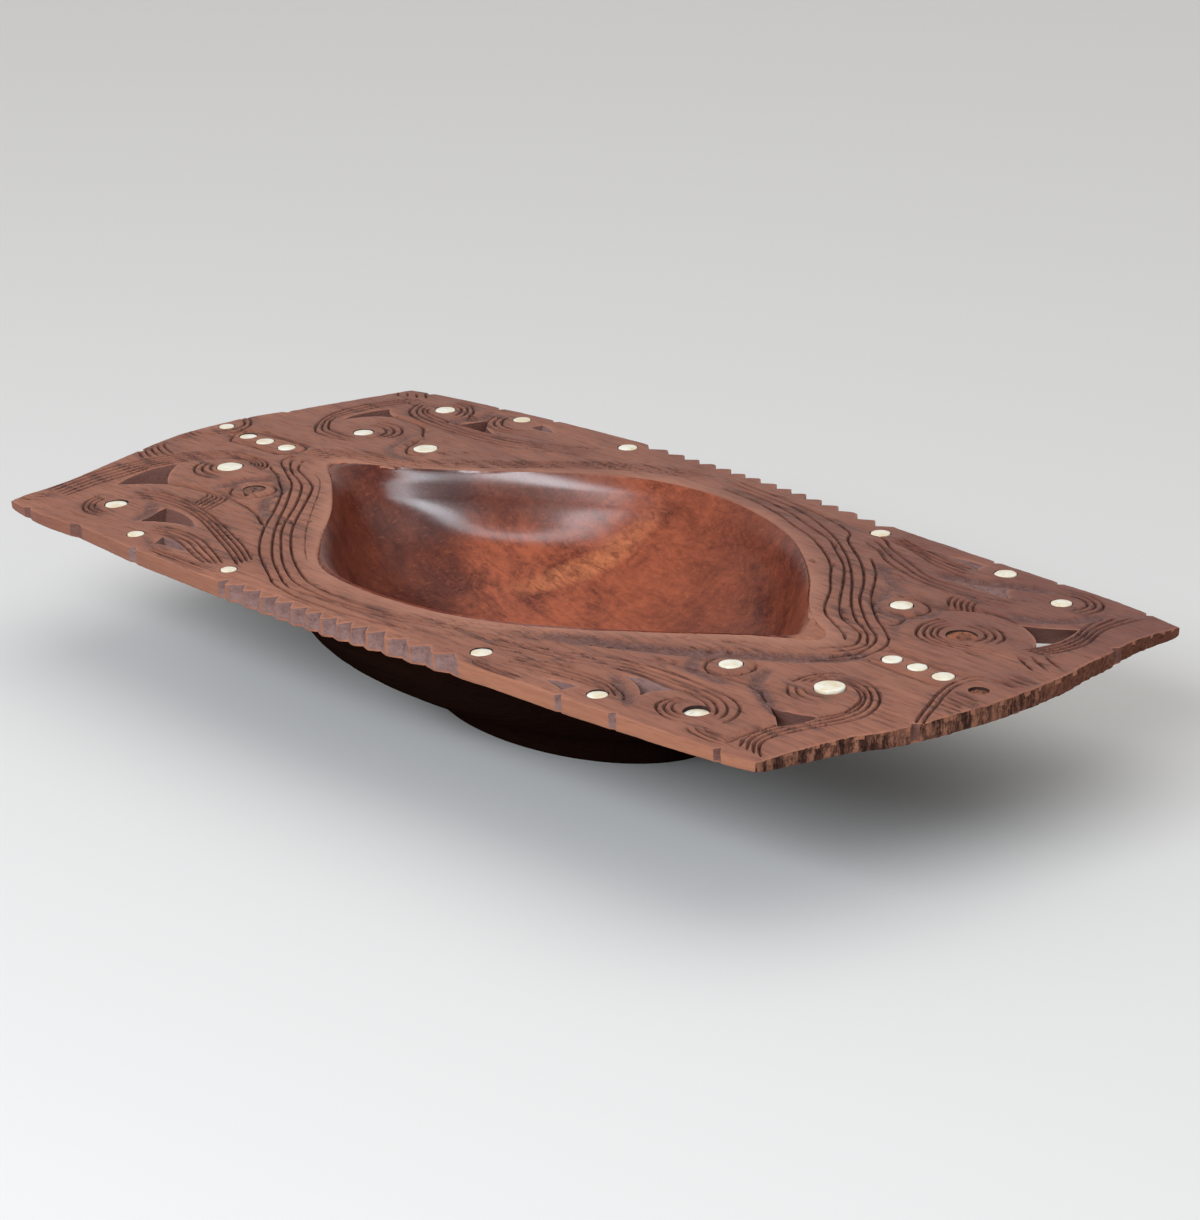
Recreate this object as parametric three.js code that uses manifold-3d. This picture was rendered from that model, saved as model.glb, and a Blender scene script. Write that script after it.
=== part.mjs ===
// A carved wooden feast bowl: one block of timber worked into a lens-shaped bowl, a broad carved rim
// with pierced scrolls and a row of teeth on each long edge, and an oval foot. Round shell discs are
// set in drilled sockets in the rim, each on a thin bed of resin. Three sockets have lost their disc
// and keep only a lump of resin.
//
// Millimetres, +Z up. The origin is on the underside of the foot, below the middle of the bowl's
// mouth. +X runs along the bowl to its right end, and +Y runs across it, from its front edge to its
// back edge.

import * as THREE from 'three';
import { LoftGeometry } from 'three/addons/geometries/LoftGeometry.js';
import { mergeVertices } from 'three/addons/utils/BufferGeometryUtils.js';
import Module from 'manifold-3d';

const wasm = await Module();
wasm.setup();

// Heights and thicknesses
const RIM_HEIGHT = 58; // top of the rim above the table, at the middle of the bowl
const RIM_EDGE = { middle: 6.2, corner: 3 }; // thickness of the rim at its outer edge
const RIM_ROOT = 10; // thickness of the rim where it meets the bowl's wall
const LIP_RADIUS = 1.8; // rounding where the rim turns down into the hollow
const WALL = 8; // how far the outside of the bowl stands out from the mouth
const FLOOR_HEIGHT = 13; // lowest point of the hollow above the table
const FOOT_HEIGHT = 9;
const FOOT_CHAMFER = 0.8;
const FOOT = { halfLength: 59, halfWidth: 36, x: 2, y: 3 };
const HOLLOW = { halfLength: 108, halfWidth: 68 }; // the oval that the hollow has low down

// The dried plank has crowned and twisted a little: the rim's top drops towards its corners.
const CROWN = { along: 1.95, alongAt: 180, across: 2.1, acrossAt: 90, twist: 1.15e-4 };

// Each side runs anticlockwise from corner to corner, seen from above. outline is the rim's edge,
// mouth is the hollow's edge beside it, nicks are single cuts in the edge, and teeth are the
// valleys between its teeth. Nicks and teeth are given along the side's own axis.
const SIDES = {
  front: {
    axis: 'x',
    steps: 34,
    outline: [
      [-179.8, -91.6], [-172, -92.3], [-160, -93.4], [-148, -93.2], [-138, -92.6], [-124, -93.3],
      [-108, -94.6], [-80, -95.3], [-45, -96], [-20, -96], [0, -95.4], [20, -93.8], [45, -91.8],
      [70, -89.9], [100, -89], [140, -86.6], [163, -85], [177.5, -84],
    ],
    mouth: [
      [-105, -11.2], [-80, -30.8], [-60, -50.8], [-40, -66.3], [-15, -71], [15, -69.6],
      [40, -62.8], [60, -52.5], [80, -38], [105, -16.8],
    ],
    nicks: [-167.8, -139.5, -103.5, 100.5, 122.5, 163],
    teeth: [-54.9, -45.8, -37.2, -28.7, -21, -13.4, -6.3, 1.3, 8, 14.6, 22.2, 31.8, 41.8, 52.4],
  },
  right: {
    axis: 'y',
    steps: 20,
    outline: [
      [177.5, -84], [178.5, -75], [180, -65], [182.8, -52], [187, -42], [189.5, -30], [191.5, -12],
      [192.1, 0], [191.6, 14], [190, 29], [187.2, 42], [184.8, 55], [182.4, 66], [181.6, 78],
      [182, 88.6],
    ],
    mouth: [[105, -16.8], [113, -11.5], [119.5, -7], [121.8, -3], [117, 2.6], [105, 7.4]],
    nicks: [-33, 57.5],
    teeth: [],
  },
  back: {
    axis: 'x',
    steps: 34,
    outline: [
      [182, 88.6], [170, 90.5], [152, 92], [130, 91.2], [105, 90.8], [75, 90.8], [50, 91.4],
      [25, 93.7], [0, 94.8], [-30, 94.7], [-65, 93.7], [-95, 91.2], [-118, 88.4], [-145, 84.9],
      [-163, 81.8], [-174.2, 78.7],
    ],
    mouth: [
      [105, 7.4], [95, 17], [80, 32.5], [60, 48.3], [40, 60], [10, 68.6], [-15, 68.9], [-38, 62],
      [-60, 44.2], [-80, 26.7], [-105, 10.4],
    ],
    nicks: [168.4, 131.8, 105.5, -106, -132, -165.5],
    teeth: [
      55.1, 46.1, 36, 27.5, 19.4, 11.8, 4.6, -3.2, -11, -17.9, -25.3, -33.1, -40.6, -48.7, -57.9,
    ],
  },
  left: {
    axis: 'y',
    steps: 20,
    outline: [
      [-174.2, 78.7], [-177, 66], [-180.2, 51], [-184.8, 32], [-188.9, 21], [-191.3, 8],
      [-192.5, -8], [-191.4, -20], [-188.6, -33], [-185.3, -47], [-181.8, -64], [-180.8, -76],
      [-181.3, -85], [-179.8, -91.6],
    ],
    mouth: [[-105, 10.4], [-116, 8], [-121.5, 4], [-122, 0.5], [-117, -3.8], [-105, -11.2]],
    nicks: [30, -32],
    teeth: [],
  },
};
const NICK = { depth: 2.2, halfWidth: 1.7 };
const TOOTH = { depth: 3.3, share: 0.44 }; // share of the pitch that half a valley takes

// Every disc's centre in plan, with its radius. The carver worked by eye, so no two are alike.
const DISCS = {
  front_right: {
    by_teeth: [57.6, -81.6, 3.3],
    small_scroll: [108.4, -80.6, 3.1],
    middle_scroll: [138.6, -69.7, 3.8],
    large_scroll: [153, -31, 4.7],
    inner_eye: [119, -37.9, 3.6],
  },
  back_right: {
    by_teeth: [62.2, 82.1, 3.2],
    small_scroll: [115.6, 83.4, 3.5],
    middle_scroll: [145.8, 75.8, 3.3],
    large_scroll: [147.6, 29.6, 4.6],
    inner_eye: [117, 35.5, 3.6],
  },
  front_left: {
    by_teeth: [-60.7, -87.5, 2.6],
    small_scroll: [-114.2, -85.9, 2.8],
    middle_scroll: [-145.6, -71.9, 3.8],
    large_scroll: [-146.3, -24, 4.4],
    inner_eye: [-119.4, -33.5, 3.6],
  },
  back_left: {
    by_teeth: [-63.3, 85.4, 3.3],
    small_scroll: [-114.8, 81.2, 3.1],
    middle_scroll: [-143.8, 69.8, 3.6],
    large_scroll: [-142.7, 31.6, 3.5],
    inner_eye: [-110.7, 33.8, 4.2],
  },
  right: {
    row_inner: [148.5, -0.9, 3.1],
    row_middle: [158, -0.1, 3],
    row_outer: [168.2, 0.1, 3.3],
    at_tip: [182.8, -0.5, 2.8],
  },
  left: {
    row_inner: [-148.5, 2.1, 3.1],
    row_middle: [-160.4, 1.7, 3.2],
    row_outer: [-170.7, 2, 3.1],
    at_tip: [-186.2, 4, 2.7],
  },
};
const LOST_DISCS = ['back_right_large_scroll', 'front_left_inner_eye', 'right_at_tip'];
const DISC = { thickness: 1.6, dome: 0.25, sides: 18 };
const BED_THICKNESS = 0.7;
const LUMP_HEIGHT = 1.5; // resin left in a socket that has lost its disc
const GAP = 0.3; // clearance all round between wood, resin and shell
const SOCKET_DEPTH = DISC.thickness + BED_THICKNESS + 2 * GAP;

// Openings pierced through the rim beside the scrolls. Each is a bent triangle: corner, a point on
// the curve to the next corner, that corner, and so on round.
const PIERCED = {
  front_right_by_end: [
    [147.5, -50.2], [156, -51.8], [165.5, -48.8], [165.8, -55], [162.7, -61.3], [154.6, -54.8],
  ],
  front_right_by_middle_scroll: [
    [103.4, -65.5], [113, -62.2], [123.5, -62.2], [118.6, -67], [117.8, -72.7], [111.8, -68.2],
  ],
  front_right_by_small_scroll: [
    [88, -82.8], [93.5, -80.8], [99, -80.1], [98.2, -82.6], [97.7, -85.1], [93, -83.8],
  ],
  back_right_by_end: [
    [152.5, 50.6], [159, 54.6], [165.4, 61.5], [168.9, 50], [168, 39.2], [162.6, 45.4],
  ],
  back_right_by_middle_scroll: [
    [109, 67.3], [117.5, 71.3], [125, 76], [127.6, 71], [132.5, 66.5], [120.5, 65.4],
  ],
  back_right_by_small_scroll: [
    [93.5, 83], [99.5, 84.2], [105.5, 84.6], [106.2, 81.8], [107.4, 79.2], [100.5, 81],
  ],
  front_left_by_end: [
    [-164.5, -33], [-166.8, -46], [-163, -59.5], [-155, -52.8], [-148, -48.6], [-156.4, -42.6],
  ],
  front_left_by_middle_scroll: [
    [-128, -63.8], [-126.4, -70.5], [-124, -77.2], [-114.5, -71.9], [-103, -70], [-114.5, -64.8],
  ],
  front_left_by_small_scroll: [
    [-105, -81.5], [-103.4, -84.4], [-102, -87], [-94.5, -86], [-86.5, -85.7], [-95.5, -82],
  ],
  back_left_by_end: [
    [-161.5, 36.8], [-157, 46.6], [-148.5, 51.6], [-154, 53], [-159.6, 56.8], [-162.6, 46.6],
  ],
  back_left_by_middle_scroll: [
    [-126, 61.9], [-117, 61.5], [-108.4, 62.6], [-117, 66.6], [-123.2, 72.7], [-124.2, 67],
  ],
  back_left_by_small_scroll: [
    [-105.8, 77.6], [-100.4, 77.4], [-95, 78.9], [-100, 81.2], [-105.4, 82.6], [-105.4, 80],
  ],
};
const PIERCED_CURVE_STEPS = 3;
const FLATNESS = 0.08; // the carved bowl's skin is thinned out to stay this close to its shape
const CURVE_POINTS = 60; // points along a carved line before it is thinned
const MERGE_DISTANCE = 1e-4; // corners closer than this are one corner

// The main carved lines, in plan. A band holds a number of grooves, spaced evenly between its first
// and its last, and every other line is a groove of its own.
const BANDS = {
  rim_back_left: {
    count: 5,
    first: [
      [-140.5, 3], [-137, 9.5], [-129, 13.5], [-122, 17.5], [-113, 18.9], [-103, 22.5], [-92, 32],
      [-80, 42.5], [-66, 56], [-50, 70.5], [-34, 80], [-20, 83.5],
    ],
    last: [
      [-129.5, 2.5], [-127.5, 6], [-124.5, 8.5], [-119, 9.9], [-110, 11.4], [-100, 15.6],
      [-90, 24.5], [-78, 35], [-64, 49], [-48, 63.5], [-33, 73], [-22, 76.4],
    ],
  },
  front_right_stem: {
    count: 4,
    first: [
      [48, -72.5], [60, -70.5], [72, -66.5], [83.5, -61.3], [94, -57.4], [109.6, -55], [127, -55.1],
      [138, -56], [145.2, -59.1], [149.6, -65.2], [150.5, -71],
    ],
    last: [
      [56, -76.8], [66, -74.5], [78, -70.8], [88.7, -67], [101, -63], [118.3, -61.7],
      [132.2, -62.6], [138.3, -64.8], [141.7, -67.4],
    ],
  },
  front_right_small_stem: {
    count: 4,
    first: [
      [66, -78], [79, -73.9], [88.7, -72.4], [96.5, -71.8], [104.3, -72], [109.6, -72.9],
      [113.9, -75.2], [117, -78.7],
    ],
    last: [[69.6, -83.5], [80, -80.4], [94, -77.7], [106, -77]],
  },
  front_right_middle_rings: {
    count: 3,
    first: [
      [130.5, -65], [126.8, -67.6], [125.7, -71.3], [127, -74.8], [131.3, -77.4], [136.5, -78.7],
      [141, -77.8],
    ],
    last: [
      [132.5, -67], [130, -68.2], [129.6, -70.2], [131.3, -72.6], [134.8, -74.2], [139, -74.3],
    ],
  },
  front_right_end: {
    count: 4,
    first: [
      [141.6, -35], [141.2, -29], [143.3, -23.5], [147, -20.4], [156.5, -19.1], [166.1, -23.9],
      [172.6, -32.2], [174.8, -41.7], [171.3, -53.9], [167.8, -66.1], [168, -72], [170.4, -75.7],
      [175.7, -80],
    ],
    last: [
      [147, -29.5], [146.8, -26.8], [149.5, -24.9], [156.5, -24.8], [164.3, -29.6], [168.3, -38.3],
      [168.3, -43.5], [164.3, -55.7], [161.7, -62.6], [161.6, -69], [162.6, -73.9], [166.1, -79.1],
    ],
  },
  front_right_large_rings: {
    count: 3,
    first: [[142.6, -37.6], [147.8, -42.2], [153.9, -43], [160, -41.7]],
    last: [[147.2, -35.8], [151.8, -38], [156.4, -37.6]],
  },
  back_right_stem: {
    count: 3,
    first: [
      [64.3, 79.5], [68.7, 78], [74.8, 74], [81.7, 70.9], [93.9, 65.7], [100.9, 62.7],
      [107.8, 61.5], [118, 62.2], [130.4, 64.8], [138.3, 68.3],
    ],
    last: [
      [66, 71.5], [74.8, 68.6], [83, 63.5], [92, 60], [100.9, 57.5], [109.6, 56.4], [118.3, 56.6],
      [127, 58.3], [137, 60.6],
    ],
  },
  back_right_small_stem: {
    count: 4,
    first: [[70, 84.2], [79, 81.8], [88.7, 80], [97.4, 78.7], [106, 78.4]],
    last: [[69.6, 79.2], [76.5, 78.3], [83.5, 76.6], [90.4, 74], [96.5, 72.2], [109.6, 70.9]],
  },
  back_right_large_rings: {
    count: 4,
    first: [
      [134.5, 37], [132.6, 33], [133, 28.3], [134.8, 24], [138.3, 20], [143.5, 18.2], [149.6, 17.9],
      [156.5, 19.2], [163.5, 20.5],
    ],
    last: [
      [139.6, 35], [139, 31], [140.2, 27], [143.5, 24.2], [148, 23.3], [154, 24.3], [160, 27.2],
      [164.5, 30],
    ],
  },
  back_right_large_arcs: {
    count: 3,
    first: [[146.5, 42.6], [152, 41.7], [157.4, 37.8], [159.4, 31.8]],
    last: [[141.5, 36.6], [146, 38], [151, 36.6], [153.8, 32.5], [153.6, 28.4]],
  },
  back_right_end: {
    count: 4,
    first: [
      [170.6, 85], [169.9, 78], [170.4, 68], [173, 60.5], [175.7, 53.5], [176.1, 47.4],
      [175.7, 41.3], [173, 34.4],
    ],
    last: [
      [162.5, 76], [164.3, 68.3], [166.4, 62.2], [169.4, 56], [170.6, 48.3], [170.2, 41.3],
      [167.6, 34.1],
    ],
  },
  back_right_middle_rings: {
    count: 3,
    first: [[140, 88.2], [147, 88.7], [153.8, 86], [157.2, 80.5], [157.5, 74]],
    last: [[141, 83], [146.3, 84], [151, 82], [152.9, 77.5], [152.4, 73]],
  },
  front_left_stem: {
    count: 4,
    first: [
      [-150, -58], [-144.3, -55.7], [-137.4, -54.8], [-124.3, -55.7], [-108.7, -59.1],
      [-91.3, -64.8], [-73.9, -71.3], [-61.7, -77.4],
    ],
    last: [
      [-147.8, -66.1], [-144.3, -63.5], [-137, -61.3], [-124.3, -60.9], [-108.7, -63.9],
      [-91.3, -70.4], [-73.9, -77.4], [-61.7, -83],
    ],
  },
  front_left_small_stem: {
    count: 4,
    first: [
      [-116, -77.6], [-108.7, -75.2], [-102.6, -74.8], [-95.7, -75], [-88.7, -76.5], [-75.7, -81.3],
      [-67, -85.2],
    ],
    last: [
      [-113, -82.2], [-107.8, -80.9], [-101.7, -80.4], [-93.9, -81.7], [-83, -85.6], [-71.3, -88.7],
    ],
  },
  front_left_end: {
    count: 5,
    first: [
      [-134.8, -20], [-136.5, -15.5], [-142, -11.8], [-150.4, -11.1], [-158.5, -12.8],
      [-165.5, -17.4], [-172, -25.5], [-177, -36], [-180, -48], [-180.6, -62], [-178.6, -77],
    ],
    last: [
      [-141.5, -17.8], [-146, -15.7], [-151.3, -16.5], [-157.5, -20.8], [-161.5, -25.5],
      [-165.5, -31.5], [-168.6, -41], [-168.6, -52], [-169, -64], [-168, -77],
    ],
  },
  front_left_large_rings: {
    count: 3,
    first: [[-158.3, -26.5], [-156.5, -31.3], [-152.2, -34.6], [-147, -35.9], [-141, -35.6]],
    last: [[-153.8, -25], [-151.3, -28.7], [-147, -30.4], [-142.6, -30.3]],
  },
  front_left_middle_rings: {
    count: 3,
    first: [[-158, -70], [-156.6, -76.5], [-152.2, -80.9], [-146, -83], [-140, -82.2]],
    last: [[-154, -70.5], [-152.8, -75], [-149.8, -78], [-145.2, -79.2], [-141, -78.2]],
  },
  back_left_stem: {
    count: 4,
    first: [
      [-157.6, 69.5], [-154, 62], [-148.5, 57.6], [-139.1, 54.8], [-121.7, 53.5], [-106.1, 53.8],
      [-93, 56.1], [-78, 62], [-66, 68.5],
    ],
    last: [
      [-149.3, 68], [-148, 64.8], [-142.6, 62.7], [-127.8, 61], [-110.4, 60.9], [-95.7, 63.5],
      [-82, 69], [-70, 75.5],
    ],
  },
  back_left_end: {
    count: 3,
    first: [
      [-139, 21.4], [-148.7, 20], [-157.5, 21.7], [-165.2, 29.2], [-170, 39], [-171, 50],
      [-168, 62], [-163, 73],
    ],
    last: [
      [-139.5, 25.4], [-147, 24.9], [-154.5, 26], [-161.7, 31], [-165.6, 38.5], [-165.4, 49],
      [-163.6, 60], [-159, 70],
    ],
  },
  back_left_large_rings: {
    count: 3,
    first: [[-149, 44.3], [-141, 45.2], [-135, 43], [-131, 38.5], [-130.4, 32.5]],
    last: [[-148, 39.6], [-142, 39.9], [-137, 37.4], [-135, 33], [-136, 28.5]],
  },
  back_left_small_rings: {
    count: 3,
    first: [[-125.2, 77.5], [-122.5, 71.5], [-117.5, 67.6], [-110.4, 66.4], [-103, 67.6]],
    last: [[-120.6, 80], [-119.2, 76], [-115.6, 72.6], [-110, 70.8], [-104, 71.5]],
  },
  back_left_middle_rings: {
    count: 3,
    first: [[-148, 80.6], [-141, 79.8], [-134.5, 75], [-129.8, 68]],
    last: [[-148.6, 76.2], [-142, 75.6], [-138, 72], [-135.4, 67]],
  },
};
const RIM_LINES = {
  front_1: [
    [-136.5, -13.9], [-133, -16.1], [-125.7, -19.1], [-118.3, -23.5], [-110, -29.1], [-97.4, -41.3],
    [-82.6, -57.4], [-69.1, -69.1], [-58.7, -75.7], [-46, -82.4], [-39.6, -85.7], [-32, -87.6],
    [-22.5, -88.9], [-11, -89], [0, -88.3], [18.5, -85.7], [35.6, -80.5], [50, -74], [64, -68],
  ],
  front_2: [
    [-139.5, -3.5], [-137.8, -7.8], [-134.8, -10.4], [-121.7, -17.4], [-113, -22.6], [-98.7, -35.7],
    [-86.1, -48.7], [-74.3, -59.6], [-59.1, -71.3], [-46, -78.8], [-33.9, -84.6], [-26.3, -85.4],
    [-5.3, -84.9], [10.9, -82.6], [24, -79.5], [46, -71], [66, -62],
  ],
  front_3: [
    [-136, -4.8], [-132.6, -8.3], [-124.8, -13.5], [-110.4, -20.4], [-96.1, -33.5], [-80.4, -50.9],
    [-67.8, -61.3], [-51.7, -72.6], [-35.8, -80.5], [-21.5, -83], [-3.4, -83], [14, -80],
    [26, -76.4], [40, -69.6], [60, -60.5],
  ],
  front_4: [
    [-130, -5.7], [-125.7, -10.2], [-119.1, -13], [-110.4, -16.7], [-103.9, -20.9], [-90, -35.7],
    [-78.3, -48.3], [-64.8, -59.6], [-49.6, -69.6], [-30, -78.5], [-11, -80.5], [0, -80.5],
    [10, -79.2], [22, -75.6], [38, -67.5], [52, -60.5],
  ],
  back_1: [
    [-6, 76.5], [10, 75], [25, 71.5], [40, 65.7], [50, 62.4], [63.9, 54.8], [74.8, 47],
    [83.5, 38.3], [93, 28.7], [100.9, 18.7], [106.7, 13.2], [113, 9.6], [122.6, 4.8], [127.5, 0.8],
  ],
  back_2: [
    [0, 80], [14, 78.3], [28, 75], [40, 70.5], [47.4, 67.9], [57.4, 64], [66.1, 58.1], [78.3, 49.4],
    [90, 37.4], [100.9, 25.1], [108.4, 17.6], [114.8, 12.9], [121.2, 10.5], [127, 7.7],
    [132.2, 0.5], [131.5, -4], [127, -10.5],
  ],
  back_3: [
    [-9, 83.1], [4.2, 82.2], [23.2, 80], [32, 78], [40.9, 74.8], [54.8, 68.3], [66.5, 60.9],
    [77, 53.1], [90, 41.3], [100.9, 30], [108, 23.2], [117.1, 15.8], [127, 10.3], [132.2, 5.4],
    [134.8, 1.9], [134.9, -4], [131.5, -10],
  ],
  back_4: [
    [-8, 86.3], [10, 84.6], [30, 82.2], [44.8, 78.7], [51, 76.8], [56.1, 74.5], [60, 69.5],
    [68.3, 63.5], [79.1, 56.1], [89.1, 47.4], [96.5, 39.6], [104.6, 30], [114.8, 21.3],
    [124.1, 14.5], [132.2, 9.2], [136.5, 2.2], [137.2, -4], [133.4, -12.5],
  ],
  back_5: [
    [78, 61.6], [84, 57], [90, 51.8], [97, 44], [104.3, 35.3], [110.4, 29.6], [119.7, 21.9],
    [129.3, 15.8], [136.5, 10], [140.3, 2.8], [140.2, -4], [137, -10.5], [130.4, -18.7],
  ],
};
const PANEL_LINES = {
  front_right_plate: [
    [100, -51], [107.4, -48.6], [117, -46.4], [127, -45.4], [137, -44.8], [142.6, -47.4],
    [146.5, -49.6],
  ],
  front_right_plate_corner: [[162.3, -62.6], [160.8, -66], [160.3, -73], [161.2, -80]],
  front_right_eye: [
    [112.5, -34], [111.4, -38.5], [113.4, -43], [118, -45.4], [123.4, -44], [126.4, -40],
    [126.3, -35.5], [123.6, -31.8],
  ],
  front_right_row: [[143.6, -6.1], [153, -5.9], [161.7, -6.3], [173.8, -6.1]],
  back_right_row: [[141.8, 5.6], [150, 5.2], [160, 4.9], [173, 5]],
  back_right_plate: [
    [123, 42.5], [127.5, 44], [131, 47.5], [137, 51.3], [145, 52.4], [151.2, 50.9],
  ],
  back_right_eye: [
    [110.5, 41], [116.5, 43.6], [123.5, 41.4], [126.2, 36], [124.2, 30.8], [118.4, 28.6],
  ],
  back_right_eye_foot: [[124.6, 29.8], [126.8, 25], [127.6, 19]],
  front_left_plate: [
    [-149.6, -47.8], [-143.5, -46.1], [-136.5, -45.2], [-128.7, -44.5], [-121.5, -43.4],
    [-113, -44.8], [-100, -47.8], [-92, -51.6], [-86, -54.4],
  ],
  front_left_eye: [
    [-127, -36], [-124.6, -40], [-119.5, -41.4], [-114, -39.5], [-111.6, -34.5], [-113.4, -29],
    [-119, -26.2], [-125.6, -28.6],
  ],
  back_left_plate: [
    [-150, 52.2], [-144.3, 52.2], [-137.4, 51.8], [-131.3, 49.6], [-127, 45.7], [-122, 42.4],
  ],
  back_left_eye: [[-121, 40], [-119, 34], [-116, 29.4], [-110.8, 26.6], [-105.5, 28.5]],
  left_row: [
    [-142.6, -2.6], [-148, -3.9], [-163.5, -3.8], [-171, -4.8], [-175, -2.4], [-177.2, 2],
    [-174.6, 6.8], [-165, 8], [-151, 8.8], [-144, 7.4], [-141.6, 2.5], [-142.2, -1.7],
  ],
};
const GROOVE = { depth: 0.8, halfWidth: 0.8, share: 0.4, endDepth: 0.1, endLength: 2 };
const GROOVE_REACH = 0.4; // how far a groove's cutter stands out above the rim
const GROOVE_BEND = 0.7; // how far a groove's straight runs may stray from its curve

// Height of the rim's top above the table at a point in plan.
function rimTop({ x, y }) {
  const { along, alongAt, across, acrossAt, twist } = CROWN;
  return RIM_HEIGHT - along * (x / alongAt) ** 2 - across * (y / acrossAt) ** 2 - twist * x * y;
}

const planPoints = (pairs) => pairs.map(([x, y]) => new THREE.Vector2(x, y));
const sideCurve = (pairs) => new THREE.SplineCurve(planPoints(pairs));

// Matching rings in plan, all with the same number of points: the rim's edge with its thickness,
// the mouth, the outside of the bowl below the rim, the hollow's oval and the foot.
function planRings() {
  const outline = [];
  const thickness = [];
  const mouth = [];
  for (const side of Object.values(SIDES)) {
    const edge = sideCurve(side.outline);
    const mouthCurve = sideCurve(side.mouth);
    for (let i = 0; i < side.steps; i++) {
      const share = i / side.steps;
      const towardsMiddle = Math.sqrt(4 * share * (1 - share));
      outline.push(edge.getPointAt(share));
      mouth.push(mouthCurve.getPointAt(share));
      thickness.push(THREE.MathUtils.lerp(RIM_EDGE.corner, RIM_EDGE.middle, towardsMiddle));
    }
  }
  const grown = new THREE.Vector2(1 + WALL / HOLLOW.halfLength, 1 + WALL / HOLLOW.halfWidth);
  const belly = mouth.map((p) => p.clone().multiply(grown));
  const oval = ({ halfLength, halfWidth, x = 0, y = 0 }) =>
    mouth.map((p) => {
      const turn = Math.atan2(p.y / HOLLOW.halfWidth, p.x / HOLLOW.halfLength);
      return new THREE.Vector2(x + halfLength * Math.cos(turn), y + halfWidth * Math.sin(turn));
    });
  const face = {
    ...FOOT,
    halfLength: FOOT.halfLength - FOOT_CHAMFER,
    halfWidth: FOOT.halfWidth - FOOT_CHAMFER,
  };
  const lip = mouth.map((p) => p.clone().setLength(p.length() + LIP_RADIUS));
  return {
    outline,
    thickness,
    mouth,
    lip,
    belly,
    hollow: oval(HOLLOW),
    foot: oval(FOOT),
    face: oval(face),
  };
}

const mix = (from, to, share) => from.map((p, i) => p.clone().lerp(to[i], share));
const raise = (ring, height) => ring.map((p, i) => new THREE.Vector3(p.x, p.y, height(p, i)));
const roundRise = (share) => 1 - Math.sqrt(1 - share * share);

// The block before any cutting, as one skin lofted from the foot up over the rim and down into the
// hollow, where it closes in a point.
function blankSections() {
  const { outline, thickness, mouth, lip, belly, hollow, foot, face } = planRings();
  const sections = [raise(face, () => 0), raise(foot, () => FOOT_CHAMFER)];

  for (const share of [0, 0.18, 0.4, 0.62, 0.8, 0.93, 1]) {
    const rise = THREE.MathUtils.lerp(roundRise(share), share, 0.25);
    const height = (p, i) => THREE.MathUtils.lerp(FOOT_HEIGHT, rimTop(belly[i]) - RIM_ROOT, rise);
    sections.push(raise(mix(foot, belly, share), height));
  }
  const underRim = (p, i) => rimTop(p) - (thickness[i] + RIM_ROOT) / 2;
  sections.push(raise(mix(outline, belly, 0.6), underRim));
  sections.push(raise(outline, (p, i) => rimTop(p) - thickness[i]));
  for (const share of [1, 0.5, 0]) sections.push(raise(mix(lip, outline, share), rimTop));
  sections.push(raise(mouth, (p) => rimTop(p) - LIP_RADIUS));
  for (const share of [0.99, 0.955, 0.89, 0.79, 0.65, 0.48, 0.3, 0.12, 0]) {
    const ring = mix(hollow, mouth, share ** 3).map((p) => p.multiplyScalar(share));
    const rise = roundRise(share);
    sections.push(
      raise(ring, (p, i) => THREE.MathUtils.lerp(FLOOR_HEIGHT, rimTop(mouth[i]), rise)),
    );
  }
  return sections;
}

// A closed geometry as a solid that can be cut.
function solidFrom(geometry) {
  const bare = new THREE.BufferGeometry();
  bare.setAttribute('position', geometry.getAttribute('position'));
  bare.setIndex(geometry.getIndex());
  const merged = mergeVertices(bare, MERGE_DISTANCE);
  const corners = merged.getIndex().array;
  const triangles = [];
  for (let i = 0; i < corners.length; i += 3) {
    const [a, b, c] = corners.slice(i, i + 3);
    if (a !== b && b !== c && c !== a) triangles.push(a, b, c);
  }
  return new wasm.Manifold(
    new wasm.Mesh({
      numProp: 3,
      vertProperties: merged.getAttribute('position').array,
      triVerts: new Uint32Array(triangles),
    }),
  );
}

// A cut solid as a geometry again.
function geometryFrom(solid) {
  const mesh = solid.getMesh();
  const geometry = new THREE.BufferGeometry();
  geometry.setAttribute('position', new THREE.Float32BufferAttribute(mesh.vertProperties, 3));
  geometry.setIndex(new THREE.Uint32BufferAttribute(mesh.triVerts, 1));
  geometry.computeVertexNormals();
  return geometry;
}

// An upright prism of a plan outline, long enough to cut right through the rim.
function throughPrism(points) {
  const turned = THREE.ShapeUtils.isClockWise(points) ? [...points].reverse() : points;
  const depth = 4 * RIM_ROOT;
  const prism = new THREE.ExtrudeGeometry(new THREE.Shape(turned), { depth, bevelEnabled: false });
  prism.translate(0, 0, RIM_HEIGHT - depth / 2);
  return solidFrom(prism);
}

// How far along a side, from 0 to 1, its edge reaches a given place on the side's axis.
function shareAt(edge, axis, place) {
  const rising = edge.getPointAt(1)[axis] > edge.getPointAt(0)[axis];
  let low = 0;
  let high = 1;
  while (high - low > 1e-4) {
    const middle = (low + high) / 2;
    if (edge.getPointAt(middle)[axis] < place === rising) low = middle;
    else high = middle;
  }
  return low;
}

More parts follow.
